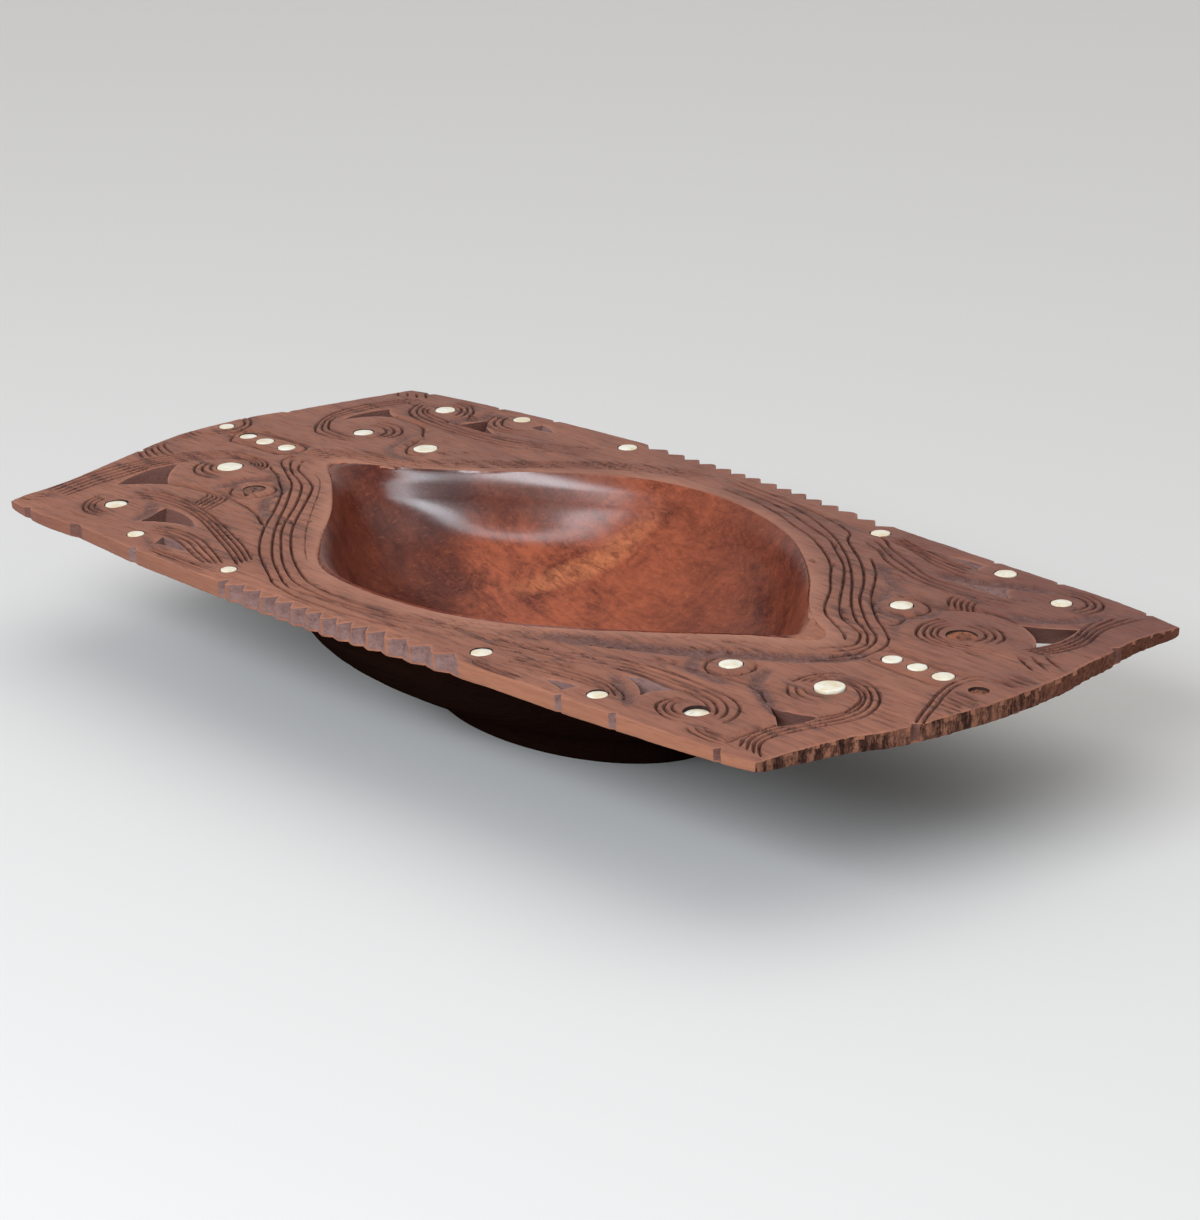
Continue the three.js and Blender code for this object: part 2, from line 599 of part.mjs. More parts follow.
// The wedge that cuts an upright V into a side's edge.
function edgeCut(side, place, halfWidth, depth) {
  const edge = sideCurve(side.outline);
  const share = shareAt(edge, side.axis, place);
  const at = edge.getPointAt(share);
  const along = edge.getTangentAt(share);
  const outward = new THREE.Vector2(along.y, -along.x);
  const reach = 2; // how far the wedge stands out past the edge
  const wide = (halfWidth * (depth + reach)) / depth;
  const corner = (a, o) => at.clone().addScaledVector(along, a).addScaledVector(outward, o);
  return throughPrism([corner(-wide, reach), corner(wide, reach), corner(0, -depth)]);
}

function edgeCuts() {
  return Object.values(SIDES).flatMap((side) => {
    const nicks = side.nicks.map((place) => edgeCut(side, place, NICK.halfWidth, NICK.depth));
    const valleys = side.teeth.map((place, i) => {
      const gaps = [side.teeth[i - 1], side.teeth[i + 1]].filter((other) => other !== undefined);
      const pitch = Math.min(...gaps.map((other) => Math.abs(other - place)));
      return edgeCut(side, place, TOOTH.share * pitch, TOOTH.depth);
    });
    return [...nicks, ...valleys];
  });
}

// A bent triangle from its three corners and the three points that its sides pass through.
function bentTriangle(pairs) {
  const points = planPoints(pairs);
  const outline = [];
  for (let i = 0; i < points.length; i += 2) {
    const from = points[i];
    const through = points[i + 1];
    const to = points[(i + 2) % points.length];
    const control = through.clone().multiplyScalar(2).sub(from.clone().lerp(to, 0.5));
    const bend = new THREE.QuadraticBezierCurve(from, control, to);
    outline.push(...bend.getPoints(PIERCED_CURVE_STEPS).slice(0, -1));
  }
  return outline;
}

const piercings = () => Object.values(PIERCED).map((pairs) => throughPrism(bentTriangle(pairs)));

// Every socket with its name, centre and the radius of its disc.
function sockets() {
  return Object.entries(DISCS).flatMap(([region, places]) =>
    Object.entries(places).map(([place, [x, y, radius]]) => ({
      name: `${region}_${place}`,
      centre: new THREE.Vector3(x, y, rimTop({ x, y })),
      radius,
    })),
  );
}

// A short upright cylinder between two heights.
function uprightDisc(radius, low, high) {
  const geometry = new THREE.CylinderGeometry(radius, radius, high - low, DISC.sides);
  return geometry.rotateX(Math.PI / 2).translate(0, 0, (low + high) / 2);
}

// A turned shape from a profile of [radius, height] pairs.
function turned(pairs) {
  return new THREE.LatheGeometry(planPoints(pairs), DISC.sides).rotateX(Math.PI / 2);
}

// A disc of shell, flat below, its top swelling just past the wood.
function shellDisc(radius) {
  const bottom = -DISC.thickness;
  return turned([
    [0, bottom], [radius, bottom], [radius, 0], [radius * 0.6, DISC.dome * 0.75], [0, DISC.dome],
  ]);
}

// Resin left in a bare socket, in a low uneven lump.
function resinLump(radius) {
  return turned([
    [0, 0], [radius, 0], [radius, LUMP_HEIGHT * 0.4], [radius * 0.65, LUMP_HEIGHT * 0.55],
    [radius * 0.35, LUMP_HEIGHT], [0, LUMP_HEIGHT * 0.8],
  ]);
}

// The points of a line that keep it within a distance of its full curve.
function thinned(points, stray) {
  const last = points.length - 1;
  const run = new THREE.Line3(
    new THREE.Vector3(points[0].x, points[0].y, 0),
    new THREE.Vector3(points[last].x, points[last].y, 0),
  );
  const nearest = new THREE.Vector3();
  let furthest = 0;
  let worst = stray;
  for (let i = 1; i < last; i++) {
    const point = new THREE.Vector3(points[i].x, points[i].y, 0);
    const distance = run.closestPointToPoint(point, true, nearest).distanceTo(point);
    if (distance > worst) {
      worst = distance;
      furthest = i;
    }
  }
  if (furthest === 0) return [points[0], points[last]];
  const before = thinned(points.slice(0, furthest + 1), stray);
  return [...before.slice(0, -1), ...thinned(points.slice(furthest), stray)];
}

// A V-shaped cutter that runs along a line and fades out at both ends.
function grooveCutter(curve, halfWidth) {
  const { depth, endDepth, endLength } = GROOVE;
  const body = thinned(curve.slice(1, -1), GROOVE_BEND);
  const first = curve[0];
  const last = curve[curve.length - 1];
  const inner = body.filter(
    (p) => p.distanceTo(first) > endLength && p.distanceTo(last) > endLength,
  );
  const towards = (from, to) => from.clone().add(to.clone().sub(from).setLength(endLength));
  const points = [
    first,
    towards(first, inner[0] ?? last),
    ...inner,
    towards(last, inner[inner.length - 1] ?? first),
    last,
  ];
  const corners = points.flatMap((point, i) => {
    const isEnd = i === 0 || i === points.length - 1;
    const before = points[Math.max(i - 1, 0)];
    const after = points[Math.min(i + 1, points.length - 1)];
    const along = after.clone().sub(before).normalize();
    const wide = (halfWidth * (depth + GROOVE_REACH)) / depth;
    const aside = new THREE.Vector2(-along.y, along.x).multiplyScalar(isEnd ? wide / 2 : wide);
    const top = rimTop(point);
    const left = point.clone().add(aside);
    const right = point.clone().sub(aside);
    return [
      new THREE.Vector3(left.x, left.y, top + GROOVE_REACH),
      new THREE.Vector3(right.x, right.y, top + GROOVE_REACH),
      new THREE.Vector3(point.x, point.y, top - (isEnd ? endDepth : depth)),
    ];
  });
  const triangles = [0, 2, 1];
  for (let i = 0; i < points.length - 1; i++) {
    const [l, r, b] = [3 * i, 3 * i + 1, 3 * i + 2];
    const [nextL, nextR, nextB] = [l + 3, r + 3, b + 3];
    triangles.push(l, r, nextR, l, nextR, nextL);
    triangles.push(r, b, nextB, r, nextB, nextR);
    triangles.push(b, l, nextL, b, nextL, nextB);
  }
  const end = 3 * (points.length - 1);
  triangles.push(end, end + 1, end + 2);
  const cutter = new THREE.BufferGeometry().setFromPoints(corners);
  cutter.setIndex(triangles);
  return solidFrom(cutter);
}

// Every carved line, with half its width.
function carvedLines() {
  const evenly = (pairs) => sideCurve(pairs).getSpacedPoints(CURVE_POINTS);
  const bands = Object.values(BANDS).flatMap(({ count, first, last }) => {
    const from = evenly(first);
    const to = evenly(last);
    const middle = CURVE_POINTS / 2;
    const pitch = from[middle].distanceTo(to[middle]) / (count - 1);
    const halfWidth = Math.min(GROOVE.halfWidth, GROOVE.share * pitch);
    return Array.from({ length: count }, (_, i) => ({
      curve: mix(from, to, i / (count - 1)),
      halfWidth,
    }));
  });
  const singles = [...Object.values(RIM_LINES), ...Object.values(PANEL_LINES)].map((pairs) => ({
    curve: evenly(pairs),
    halfWidth: GROOVE.halfWidth,
  }));
  return [...bands, ...singles];
}

function carvedBowl() {
  let solid = solidFrom(new LoftGeometry(blankSections(), { capStart: true }));
  for (const cutter of [...edgeCuts(), ...piercings()]) solid = solid.subtract(cutter);
  for (const { centre, radius } of sockets()) {
    const drill = uprightDisc(radius + GAP, -SOCKET_DEPTH, SOCKET_DEPTH);
    solid = solid.subtract(solidFrom(drill.translate(...centre)));
  }
  for (const { curve, halfWidth } of carvedLines()) {
    solid = solid.subtract(grooveCutter(curve, halfWidth));
  }
  return geometryFrom(solid.asOriginal().simplify(FLATNESS));
}

// Materials
const wood = new THREE.MeshStandardMaterial({ color: '#6b3a26', roughness: 0.6, metalness: 0 });
const shell = new THREE.MeshStandardMaterial({ color: '#e6dec8', roughness: 0.28, metalness: 0 });
const resin = new THREE.MeshStandardMaterial({ color: '#7a3b1e', roughness: 0.5, metalness: 0 });

function named(name, geometry, material) {
  const mesh = new THREE.Mesh(geometry, material);
  mesh.name = name;
  return mesh;
}

// A socket's contents, placed at the rim's surface.
function inlay({ name, centre, radius }) {
  const group = new THREE.Group();
  group.position.copy(centre);
  const bedLow = GAP - SOCKET_DEPTH;
  if (LOST_DISCS.includes(name)) {
    const lump = named(`resin_lump_${name}`, resinLump(radius), resin);
    lump.position.z = bedLow;
    group.add(lump);
  } else {
    const bed = uprightDisc(radius, bedLow, bedLow + BED_THICKNESS);
    group.add(named(`resin_bed_${name}`, bed, resin));
    group.add(named(`shell_${name}`, shellDisc(radius), shell));
  }
  return group;
}

const feastBowl = new THREE.Group();
feastBowl.add(named('carved_bowl', carvedBowl(), wood));
feastBowl.add(...sockets().map(inlay));

export default feastBowl;
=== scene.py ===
"""A carved feast bowl: the look of the object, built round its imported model."""

import math
import random

import bmesh
import bpy
import numpy as np
from bpy.props import FloatProperty, FloatVectorProperty, PointerProperty
from mathutils import Matrix, Vector, noise
from mathutils.geometry import delaunay_2d_cdt
from mathutils.kdtree import KDTree


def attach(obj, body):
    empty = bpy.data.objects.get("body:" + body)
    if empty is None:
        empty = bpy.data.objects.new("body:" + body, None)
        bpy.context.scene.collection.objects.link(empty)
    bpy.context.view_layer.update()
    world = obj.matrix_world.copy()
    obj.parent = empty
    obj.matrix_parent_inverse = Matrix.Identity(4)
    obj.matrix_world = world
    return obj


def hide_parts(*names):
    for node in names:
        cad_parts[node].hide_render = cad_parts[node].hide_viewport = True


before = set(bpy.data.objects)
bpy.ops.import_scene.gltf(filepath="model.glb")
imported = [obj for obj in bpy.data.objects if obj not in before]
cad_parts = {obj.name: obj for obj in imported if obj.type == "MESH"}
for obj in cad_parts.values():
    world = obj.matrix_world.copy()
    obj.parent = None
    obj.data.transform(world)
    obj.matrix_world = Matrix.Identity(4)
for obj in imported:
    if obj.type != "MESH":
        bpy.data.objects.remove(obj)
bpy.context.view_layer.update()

bl_info = {
    "name": "Carved feast bowl",
    "version": (1, 0, 0),
    "blender": (4, 2, 0),
    "location": "3D View > Sidebar > Feast bowl",
    "description": "Builds a carved wooden feast bowl with shell discs set in its rim",
    "category": "Object",
}

# The shape's own numbers below are in millimetres, as in the CAD part. Pieces are made in metres.
METRES = 0.001

RIM_HEIGHT = 58
RIM_EDGE = {"middle": 6.2, "corner": 3}  # thickness of the rim's outer edge
RIM_ROOT = 10  # thickness of the rim where it meets the bowl
WALL = 8  # how far the bowl's outside lies beyond its mouth
FLOOR_HEIGHT = 13
FOOT_HEIGHT = 9
FOOT_CHAMFER = 0.8
FOOT = {"half_length": 59, "half_width": 36, "middle": (2, 3)}
HOLLOW = {"half_length": 108, "half_width": 68, "middle": (0, 0)}
CROWN = {"along": 1.95, "along_at": 180, "across": 2.1, "across_at": 90, "twist": 1.15e-4}

# Each side runs anticlockwise from corner to corner, seen from above. A nick is given by its place
# on the side's axis, half its width and its depth, and teeth are the valleys between the teeth.
SIDES = {
    "front": {
        "axis": "x",
        "outline": [
            (-179.8, -91.6), (-172, -92.3), (-160, -93.4), (-148, -93.2), (-138, -92.6),
            (-124, -93.3), (-108, -94.6), (-80, -95.3), (-45, -96), (-20, -96), (0, -95.4),
            (20, -93.8), (45, -91.8), (70, -89.9), (100, -89), (140, -86.6), (163, -85),
            (177.5, -84),
        ],
        "mouth": [
            (-105, -11.2), (-80, -30.8), (-60, -50.8), (-40, -66.3), (-15, -71), (15, -69.6),
            (40, -62.8), (60, -52.5), (80, -38), (105, -16.8),
        ],
        "nicks": [
            (-168.5, 2.2, 1.4), (-139.5, 3.2, 1.2), (-104, 2.4, 1.6), (-53.4, 1.8, 3.2),
            (100.5, 1.4, 1.7), (122.5, 1.4, 1.7), (163, 1.4, 1.9),
        ],
        "teeth": [-45.8, -37.2, -28.7, -21, -13.4, -6.3, 1.3, 8, 14.6, 22.2, 31.8, 41.8, 52.4],
    },
    "right": {
        "axis": "y",
        "outline": [
            (177.5, -84), (178.5, -75), (180, -65), (182.8, -52), (187, -42), (189.5, -30),
            (191.5, -12), (192.1, 0), (191.6, 14), (190, 29), (187.2, 42), (184.8, 55), (182.4, 66),
            (181.6, 78), (182, 88.6),
        ],
        "mouth": [(105, -16.8), (113, -11.5), (119.5, -7), (121.8, -3), (117, 2.6), (105, 7.4)],
        "nicks": [(-33, 1.5, 1.7), (57.5, 1.6, 1.8)],
        "teeth": [],
    },
    "back": {
        "axis": "x",
        "outline": [
            (182, 88.6), (170, 90.5), (152, 92), (130, 91.2), (105, 90.8), (75, 90.8), (50, 91.4),
            (25, 93.7), (0, 94.8), (-30, 94.7), (-65, 93.7), (-95, 91.2), (-118, 88.4),
            (-145, 84.9), (-163, 81.8), (-174.2, 78.7),
        ],
        "mouth": [
            (105, 7.4), (95, 17), (80, 32.5), (60, 48.3), (40, 60), (10, 68.6), (-15, 68.9),
            (-38, 62), (-60, 44.2), (-80, 26.7), (-105, 10.4),
        ],
        "nicks": [
            (168.4, 1.5, 1.6), (131.8, 1.5, 1.6), (105.5, 1.5, 1.6), (-106, 1.6, 1.6),
            (-132, 1.6, 1.6), (-165.5, 1.6, 1.6),
        ],
        "teeth": [
            55.1, 46.1, 36, 27.5, 19.4, 11.8, 4.6, -3.2, -11, -17.9, -25.3, -33.1, -40.6, -48.7,
            -57.9,
        ],
    },
    "left": {
        "axis": "y",
        "outline": [
            (-174.2, 78.7), (-177, 66), (-180.2, 51), (-184.8, 32), (-188.9, 21), (-191.3, 8),
            (-192.5, -8), (-191.4, -20), (-188.6, -33), (-185.3, -47), (-181.8, -64), (-180.8, -76),
            (-181.3, -85), (-179.8, -91.6),
        ],
        "mouth": [(-105, 10.4), (-116, 8), (-121.5, 4), (-122, 0.5), (-117, -3.8), (-105, -11.2)],
        "nicks": [(30, 1.6, 1.6), (-32, 1.6, 1.6)],
        "teeth": [],
    },
}
# A valley's depth, how that varies, its half width as a share of the spacing, and its sharpness.
TOOTH = {"depth": 4.1, "vary": (0.88, 1.12), "share": 0.47, "sharpness": 0.8}
NOTCH_FOOT = 0.72  # how far a valley between teeth runs out again towards its bottom

# Each socket's place, and the radius of its disc.
DISCS = {
    "front_right": {
        "by_teeth": (57.6, -81.6, 3.3),
        "small_scroll": (108.4, -80.6, 3.1),
        "middle_scroll": (138.6, -69.7, 3.8),
        "large_scroll": (153, -31, 4.5),
        "inner_eye": (119, -37.9, 3.6),
    },
    "back_right": {
        "by_teeth": (62.2, 82.1, 3.2),
        "small_scroll": (115.6, 83.4, 3.5),
        "middle_scroll": (145.8, 75.8, 3.3),
        "large_scroll": (147.6, 29.6, 4.6),
        "inner_eye": (117, 35.5, 3.6),
    },
    "front_left": {
        "by_teeth": (-60.7, -87.5, 2.6),
        "small_scroll": (-114.2, -85.9, 2.8),
        "middle_scroll": (-145.6, -71.9, 3.8),
        "large_scroll": (-146.3, -24, 4.4),
        "inner_eye": (-119.4, -33.5, 3.6),
    },
    "back_left": {
        "by_teeth": (-63.3, 85.4, 3.3),
        "small_scroll": (-114.8, 81.2, 3.1),
        "middle_scroll": (-143.8, 69.8, 3.6),
        "large_scroll": (-142.7, 31.6, 3.5),
        "inner_eye": (-110.7, 33.8, 4.2),
    },
    "right": {
        "row_inner": (148.5, -0.9, 3.1),
        "row_middle": (158, -0.1, 3),
        "row_outer": (168.2, 0.1, 3.3),
        "at_tip": (182.8, -0.5, 2.8),
    },
    "left": {
        "row_inner": (-148.5, 2.1, 3.1),
        "row_middle": (-160.4, 1.7, 3.2),
        "row_outer": (-170.7, 2, 3.1),
        "at_tip": (-186.2, 4, 2.7),
    },
}
LOST_DISCS = ("back_right_large_scroll", "front_left_inner_eye", "right_at_tip")
# How far some discs stand above the wood, or lie below it.
DISC_STANDS = {
    "front_right_large_scroll": 0.7,
    "front_right_middle_scroll": -1.0,
    "front_right_small_scroll": -0.35,
    "front_right_by_teeth": -0.35,
    "front_left_middle_scroll": -0.35,
    "left_row_outer": -0.4,
    "back_left_large_scroll": -0.3,
}
DISC_THICKNESS = 1.6
DISC_DOME = 0.25
BED_THICKNESS = 0.7
GAP = 0.3  # clearance round a disc, and above and below its bed
SOCKET_DEPTH = DISC_THICKNESS + BED_THICKNESS + 2 * GAP

# The openings: three corners, and the point that each bent side passes through.
PIERCED = {
    "front_right_by_end": [
        (147.5, -50.2), (156, -51.8), (165.5, -48.8), (165.8, -55), (162.7, -61.3), (154.6, -54.8),
    ],
    "front_right_by_middle_scroll": [
        (103.4, -65.5), (113, -62.2), (123.5, -62.2), (118.6, -67), (117.8, -72.7), (111.8, -68.2),
    ],
    "front_right_by_small_scroll": [
        (88, -82.8), (93.5, -80.8), (99, -80.1), (98.2, -82.6), (97.7, -85.1), (93, -83.8),
    ],
    "back_right_by_end": [
        (152.5, 50.6), (159, 54.6), (165.4, 61.5), (168.9, 50), (168, 39.2), (162.6, 45.4),
    ],
    "back_right_by_middle_scroll": [
        (109, 67.3), (117.5, 71.3), (125, 76), (127.6, 71), (132.5, 66.5), (120.5, 65.4),
    ],
    "back_right_by_small_scroll": [
        (93.5, 83), (99.5, 84.2), (105.5, 84.6), (106.2, 81.8), (107.4, 79.2), (100.5, 81),
    ],
    "front_left_by_end": [
        (-164.5, -33), (-166.8, -46), (-163, -59.5), (-155, -52.8), (-148, -48.6), (-156.4, -42.6),
    ],
    "front_left_by_middle_scroll": [
        (-128, -63.8), (-126.4, -70.5), (-124, -77.2), (-114.5, -71.9), (-103, -70),
        (-114.5, -64.8),
    ],
    "front_left_by_small_scroll": [
        (-105, -81.5), (-103.4, -84.4), (-102, -87), (-94.5, -86), (-86.5, -85.7), (-95.5, -82),
    ],
    "back_left_by_end": [
        (-161.5, 36.8), (-157, 46.6), (-148.5, 51.6), (-154, 53), (-159.6, 56.8), (-162.6, 46.6),
    ],
    "back_left_by_middle_scroll": [
        (-126, 61.9), (-117, 61.5), (-108.4, 62.6), (-117, 66.6), (-123.2, 72.7), (-124.2, 67),
    ],
    "back_left_by_small_scroll": [
        (-105.8, 77.6), (-100.4, 77.4), (-95, 78.9), (-100, 81.2), (-105.4, 82.6), (-105.4, 80),
    ],
}
# Each opening's size at its bottom, as a share of its size at the top, and how far it leans.
HOLE_BOTTOMS = {
    "front_right_by_end": (0.75, (-1.5, 1.5)),
    "front_right_by_middle_scroll": (0.6, (2.0, -1.0)),
    "front_right_by_small_scroll": (0.6, (1.2, -0.5)),
    "back_right_by_end": (0.98, (-2.2, 2.4)),
    "back_right_by_middle_scroll": (0.5, (2.5, 0.5)),
    "back_right_by_small_scroll": (0.55, (1.4, 0)),
    "front_left_by_end": (0.7, (0.8, 0)),
    "front_left_by_middle_scroll": (0.65, (-1.5, -0.5)),
    "front_left_by_small_scroll": (0.6, (-1.2, 0)),
    "back_left_by_end": (0.7, (0, 1.0)),
    "back_left_by_middle_scroll": (0.6, (-1.5, 0.8)),
    "back_left_by_small_scroll": (0.6, (-1.2, 0)),
}

